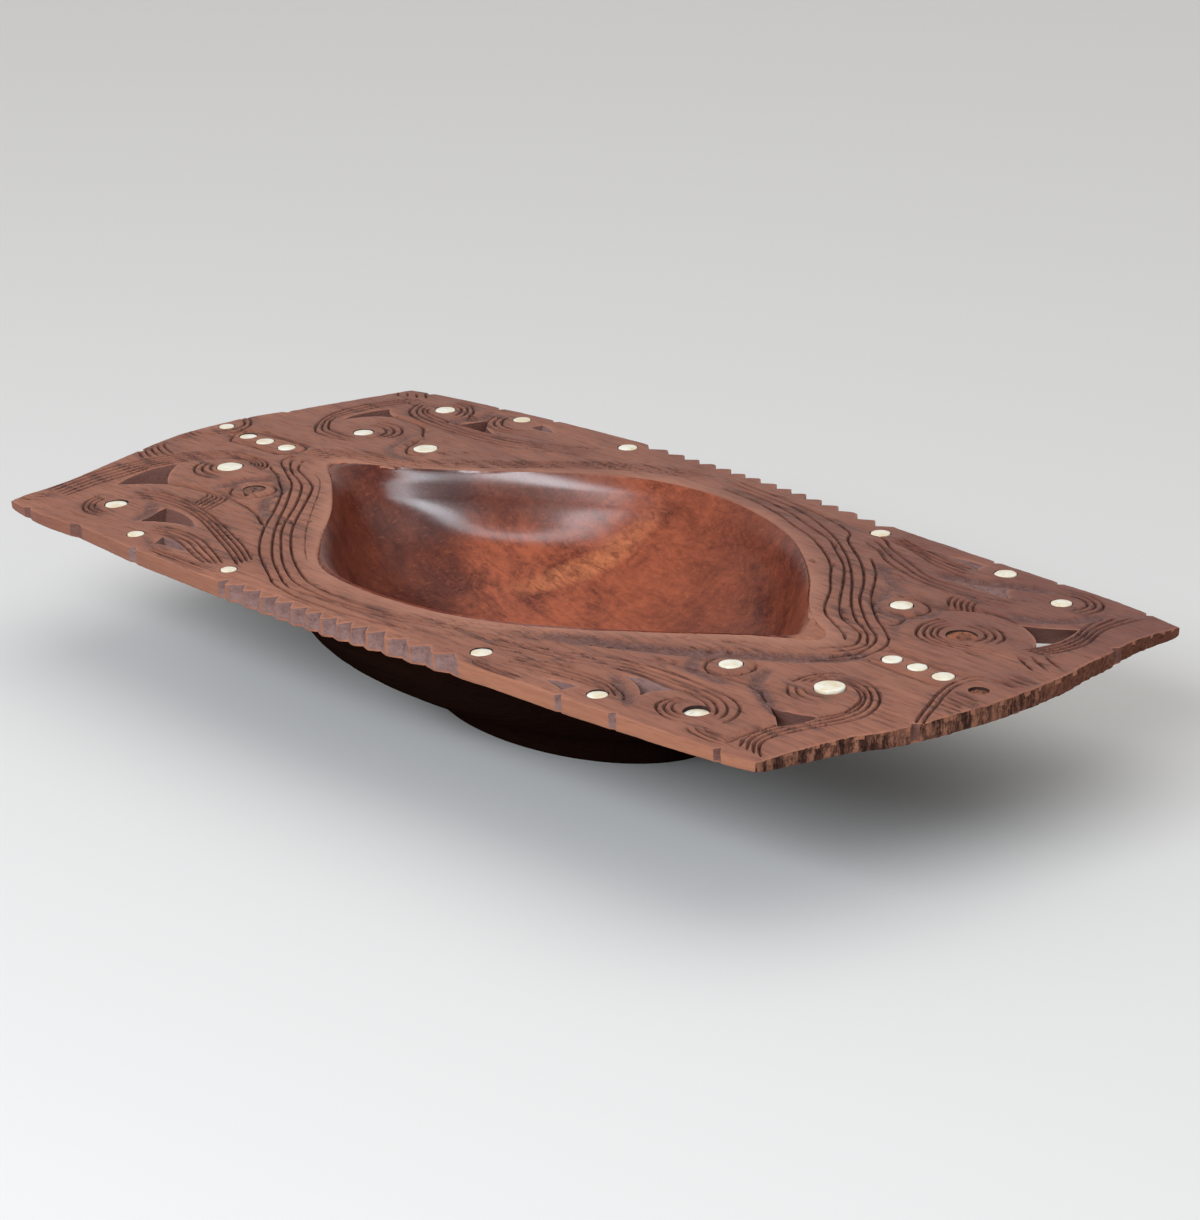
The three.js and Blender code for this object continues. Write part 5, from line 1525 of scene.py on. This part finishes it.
# Settings


def colour_setting(name, description, *default):
    return FloatVectorProperty(
        name=name, description=description, default=linear(*default), size=4, subtype="COLOR",
        min=0, max=1,
    )


def length_setting(name, description, default, low, high):
    return FloatProperty(
        name=name, description=description, default=default, min=low, max=high, unit="LENGTH",
        subtype="DISTANCE",
    )


class CarvingSettings(bpy.types.PropertyGroup):
    """Sizes of the carving."""

    groove_depth: length_setting(
        "Groove depth", "Depth of the carved lines", 0.001, 0.0001, 0.002
    )
    lip_radius: length_setting(
        "Lip radius", "Rounding of the rim where it turns down to the hollow", 0.0011, 0.0005, 0.004
    )


class FinishSettings(bpy.types.PropertyGroup):
    """Colours of the bowl."""

    rim_light: colour_setting("Rim, light grain", "Lighter colour of the carved rim", 168, 108, 84)
    rim_dark: colour_setting("Rim, dark grain", "Darker colour of the carved rim", 132, 80, 60)
    aged: colour_setting("Rim, aged wood", "Colour of the rim's darker patches", 112, 62, 50)
    worn: colour_setting("Worn wood", "Colour of the lip and the worn edges", 176, 120, 98)
    groove: colour_setting("Grooves", "Colour down in the carved lines", 68, 38, 32)
    ground: colour_setting("Sunken ground", "Colour of the ground between the plates", 116, 84, 82)
    hollow_light: colour_setting(
        "Hollow, light grain", "Lighter colour of the polished hollow", 170, 90, 62
    )
    hollow_dark: colour_setting(
        "Hollow, dark grain", "Darker colour of the polished hollow", 76, 31, 25
    )
    hollow_patch: colour_setting(
        "Hollow, pale streak", "Colour of the paler timber on the hollow's back wall", 206, 126, 84
    )
    edge: colour_setting("Rim's edge", "Colour of the long edges, along the grain", 172, 110, 78)
    end: colour_setting("End grain", "Colour of the rough ends", 150, 102, 82)
    cut: colour_setting("Cut faces", "Colour of the notches between the teeth", 150, 116, 110)
    # Painted shade: the underside's colour is near black, as if in shadow.
    belly: colour_setting("Underside", "Colour of the underside and the foot", 34, 19, 14)
    shell: colour_setting("Shell", "Colour of the shell discs", 244, 240, 226)
    resin: colour_setting("Resin", "Colour of the resin under the discs", 120, 66, 34)


class StageSettings(bpy.types.PropertyGroup):
    """Floor and light."""

    floor: colour_setting("Floor", "Colour of the floor and backdrop", 225, 224, 222)
    front_power: FloatProperty(
        name="Front light", description="Power of the long soft lamp in front", default=24,
        min=0, max=200, unit="POWER",
    )
    overhead: FloatProperty(
        name="Overhead light", description="Strength of the soft light from above", default=0.7,
        min=0, max=10,
    )
    fill: FloatProperty(
        name="Fill light", description="Strength of the light from all round", default=0.44,
        min=0, max=3,
    )


# Operators


def in_metres(bm):
    """Brings a shape from millimetres to metres and turns its faces outwards."""
    bmesh.ops.scale(bm, vec=(METRES,) * 3, verts=bm.verts)
    bmesh.ops.recalc_face_normals(bm, faces=bm.faces)


def add_mesh(bm, name, finishes):
    mesh = bpy.data.meshes.new(name)
    bm.to_mesh(mesh)
    bm.free()
    for finish in finishes:
        mesh.materials.append(finish.material)
    made = bpy.data.objects.new(name, mesh)
    bpy.context.scene.collection.objects.link(made)
    return made


def add_piece(bm, name, finishes, body="root"):
    piece = add_mesh(bm, name, finishes)
    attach(piece, body)
    return piece


class FEASTBOWL_OT_wood(bpy.types.Operator):
    """Builds the carved wooden bowl with its pierced rim, hollow and foot"""

    bl_idname = "feastbowl.wood"
    bl_label = "Carved wood"

    def execute(self, context):
        bm = Body(context.scene.feastbowl_carving).build()
        colours = context.scene.feastbowl_finish
        finishes = [finish(colours) for finish in WOODS]
        piece = add_piece(bm, "carved_wood", finishes)
        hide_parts("carved_bowl")
        return {"FINISHED"}


# One for each kind of face, in the order of TOP to DRILLED.
WOODS = (rim_wood, hollow_wood, side_wood, end_wood, under_wood_painted_shade, cut_wood, drilled_wood)
# A disc's domed top: shares of its radius, and heights above or below where the disc stands.
DISC_SECTION = ((1, -0.12), (0.97, 0), (0.85, 0.09), (0.6, 0.17), (0.3, 0.23), (0.08, DISC_DOME))


def shell_disc(centre, radius, stand, seed):
    """A domed disc over an uneven round loop, standing on the bottom of its place in the socket."""
    bm = bmesh.new()
    top = float(rim_top(centre)) + stand
    loop = circle(centre, radius, 32, 0.06, seed)
    rings = [
        [bm.verts.new((*(centre + (point - centre) * share), top + z)) for point in loop]
        for share, z in ((1, -DISC_THICKNESS - stand), *DISC_SECTION)
    ]
    for low, high in zip(rings, rings[1:]):
        for i in range(len(loop)):
            j = (i + 1) % len(loop)
            bm.faces.new([low[i], low[j], high[j], high[i]]).smooth = True
    bm.faces.new(rings[0][::-1])
    bm.faces.new(rings[-1])
    in_metres(bm)
    return bm


class FEASTBOWL_OT_shell(bpy.types.Operator):
    """Sets the round shell discs in their sockets"""

    bl_idname = "feastbowl.shell"
    bl_label = "Shell discs"

    def execute(self, context):
        finish = shell_finish(context.scene.feastbowl_finish)
        for i, (name, centre, radius) in enumerate(sockets()):
            if name in LOST_DISCS:
                continue
            bm = shell_disc(centre, radius, DISC_STANDS.get(name, 0), i + 40)
            piece = add_piece(bm, f"disc_{name}", [finish])
            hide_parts(f"shell_{name}")
        return {"FINISHED"}


# How each lump left in a bare socket lies: how far its edge and its middle are below the rim's top,
# how far its middle is off the socket's centre, and how rough it is.
LUMPS = {
    "back_right_large_scroll": {"edge": 0.7, "middle": -0.2, "off": (-0.6, 0.4), "rough": 0.9},
    "front_left_inner_eye": {"edge": 0.5, "middle": 0.4, "off": (0, 0), "rough": 0.8},
    "right_at_tip": {"edge": 1.0, "middle": 0.4, "off": (0.5, -0.3), "rough": 0.7},
}
LUMP = {"clear": 0.06, "lift": 0.05, "rings": 7, "ring": 0.12}  # clearances, and rings in its top
FRESH_LUMP = ("rough_lump", linear(176, 104, 68), linear(74, 40, 30), 0.4)
OLD_LUMP = ("old_lump", linear(142, 94, 74), linear(70, 44, 36), 0.9)


def rough_lump(centre, radius, edge, middle, off, rough):
    """A broken lump that fills a socket: a column whose top is shaped ring by ring."""
    bm = bmesh.new()
    bottom = float(rim_top(centre)) - SOCKET_DEPTH + LUMP["lift"]
    made = bmesh.ops.create_circle(bm, cap_ends=True, segments=36, radius=radius)
    bmesh.ops.translate(bm, vec=(*centre, bottom), verts=made["verts"])
    raised = bmesh.ops.extrude_face_region(bm, geom=list(bm.faces))["geom"]
    lid = [item for item in raised if isinstance(item, bmesh.types.BMFace)]
    moved = [item for item in raised if isinstance(item, bmesh.types.BMVert)]
    bmesh.ops.translate(bm, vec=(0, 0, SOCKET_DEPTH - LUMP["lift"] - edge), verts=moved)
    for _ in range(LUMP["rings"]):
        bmesh.ops.inset_region(bm, faces=lid, thickness=radius * LUMP["ring"])
    for vert in bm.verts:
        away = vert.co.xy - Vector(centre)
        share = away.length / radius
        if vert.co.z >= bottom + 0.05 and share < 0.98:
            hump = math.exp(-((away - Vector(off)).length / (radius * 0.45)) ** 2)
            vert.co.z += (edge - middle) * hump
            vert.co.z += rough * ripple(*vert.co * 0.9) * (1 - share**4)
    for face in bm.faces:
        face.smooth = True
    in_metres(bm)
    return bm


class FEASTBOWL_OT_resin(bpy.types.Operator):
    """Dresses the resin beds and makes the lumps left in the bare sockets"""

    bl_idname = "feastbowl.resin"
    bl_label = "Resin"

    def execute(self, context):
        finish = resin_finish(context.scene.feastbowl_finish)
        for name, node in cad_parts.items():
            if name.startswith("resin_bed_"):
                node.data.materials.clear()
                node.data.materials.append(finish.material)
        fresh, old = (
            Wood(name, light, dark, shine=0.7, pores=pores, relief=0.0006, grain=END_GRAIN)
            for name, light, dark, pores in (FRESH_LUMP, OLD_LUMP)
        )
        for name, centre, radius in sockets():
            if name in LOST_DISCS:
                bm = rough_lump(centre, radius + GAP - LUMP["clear"], **LUMPS[name])
                finish = old if name.startswith("front") else fresh
                piece = add_piece(bm, f"lump_{name}", [finish])
                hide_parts(f"resin_lump_{name}")
        return {"FINISHED"}


# The stage, in metres. Lamps point at the origin.
FLOOR_SIZE = 6
OVERHEAD = {"place": (0.1, 0.3, 1), "colour": (1, 0.97, 0.93), "angle": math.radians(70)}
FRONT = {"place": (0.36, -1.37, 0.98), "colour": (0.87, 0.93, 1), "size": (1.5, 0.6)}
# The photo's camera, solved from the layout of the inlays: its axes point right, up and back.
CAMERA = {"lens": 112.88, "sensor": 36, "place": (0.88385, -0.75420, 0.44870)}
CAMERA_AXES = (
    (0.6630334, 0.7482034, -0.0240484),
    (-0.2366385, 0.2399625, 0.9414989),
    (0.7102035, -0.6185544, 0.3361569),
)


class FEASTBOWL_OT_stage(bpy.types.Operator):
    """Sets out the floor, the light and the camera"""

    bl_idname = "feastbowl.stage"
    bl_label = "Stage"

    def execute(self, context):
        settings = context.scene.feastbowl_stage
        self.floor(settings)
        self.world(context, settings)
        self.lamps(context, settings)
        self.camera(context)
        context.scene.view_settings.view_transform = "Standard"
        return {"FINISHED"}

    def floor(self, settings):
        bm = bmesh.new()
        bmesh.ops.create_grid(bm, x_segments=1, y_segments=1, size=FLOOR_SIZE)
        finish = Finish("floor")
        finish.set(Base_Color=settings.floor, Roughness=0.9)
        floor = add_mesh(bm, "floor", [finish])

    def world(self, context, settings):
        """Even light from all round, and the floor's colour wherever the camera looks past it."""
        world = bpy.data.worlds.new("studio")
        context.scene.world = world
        world.use_nodes = True
        tree = world.node_tree
        node = Value(tree).node
        light = tree.nodes["Background"]
        plug(tree, light.inputs, {"Color": (1, 1, 1, 1), "Strength": settings.fill})
        seen = node("ShaderNodeBackground", {"Color": settings.floor, "Strength": 1})
        camera = node("ShaderNodeLightPath", output="Is Camera Ray")
        rays = camera.socket.node.outputs
        glossy = Value(tree, rays["Is Glossy Ray"])
        through = Value(tree, rays["Is Transmission Ray"])
        inputs = {0: camera | glossy | through, 1: Value(tree, light.outputs[0]), 2: seen}
        mixed = node("ShaderNodeMixShader", inputs)
        plug(tree, tree.nodes["World Output"].inputs, {"Surface": mixed})

    def lamps(self, context, settings):
        overhead = bpy.data.lights.new("overhead", "SUN")
        overhead.angle = OVERHEAD["angle"]
        overhead.energy = settings.overhead
        front = bpy.data.lights.new("front", "AREA")
        front.shape = "RECTANGLE"
        front.size, front.size_y = FRONT["size"]
        front.energy = settings.front_power
        for lamp, facts in ((overhead, OVERHEAD), (front, FRONT)):
            lamp.color = facts["colour"]
            made = bpy.data.objects.new(lamp.name, lamp)
            made.location = facts["place"]
            made.rotation_euler = Vector(facts["place"]).to_track_quat("Z", "Y").to_euler()
            context.scene.collection.objects.link(made)

    def camera(self, context):
        lens = bpy.data.cameras.new("camera")
        lens.lens, lens.sensor_width = CAMERA["lens"], CAMERA["sensor"]
        camera = bpy.data.objects.new("camera", lens)
        turned = Matrix(CAMERA_AXES).transposed().to_4x4()
        camera.matrix_world = Matrix.Translation(CAMERA["place"]) @ turned
        context.scene.collection.objects.link(camera)
        context.scene.camera = camera


class FEASTBOWL_PT_panel(bpy.types.Panel):
    """Lists the bowl's pieces and their settings"""

    bl_idname = "FEASTBOWL_PT_panel"
    bl_label = "Feast bowl"
    bl_space_type = "VIEW_3D"
    bl_region_type = "UI"
    bl_category = "Feast bowl"

    def draw(self, context):
        layout = self.layout
        for operator in OPERATORS:
            layout.operator(operator.bl_idname)
        for name in SETTINGS:
            column = layout.column()
            group = getattr(context.scene, name)
            for key in group.__annotations__:
                column.prop(group, key)


SETTINGS = {
    "feastbowl_carving": CarvingSettings,
    "feastbowl_finish": FinishSettings,
    "feastbowl_stage": StageSettings,
}
OPERATORS = (FEASTBOWL_OT_wood, FEASTBOWL_OT_shell, FEASTBOWL_OT_resin, FEASTBOWL_OT_stage)
CLASSES = (*SETTINGS.values(), *OPERATORS, FEASTBOWL_PT_panel)


def register():
    for cls in CLASSES:
        bpy.utils.register_class(cls)
    for name, cls in SETTINGS.items():
        setattr(bpy.types.Scene, name, PointerProperty(type=cls))


def unregister():
    for name in SETTINGS:
        delattr(bpy.types.Scene, name)
    for cls in reversed(CLASSES):
        bpy.utils.unregister_class(cls)


def main():
    register()
    bpy.ops.feastbowl.wood()
    bpy.ops.feastbowl.shell()
    bpy.ops.feastbowl.resin()
    bpy.ops.feastbowl.stage()


if __name__ == "__main__":
    main()
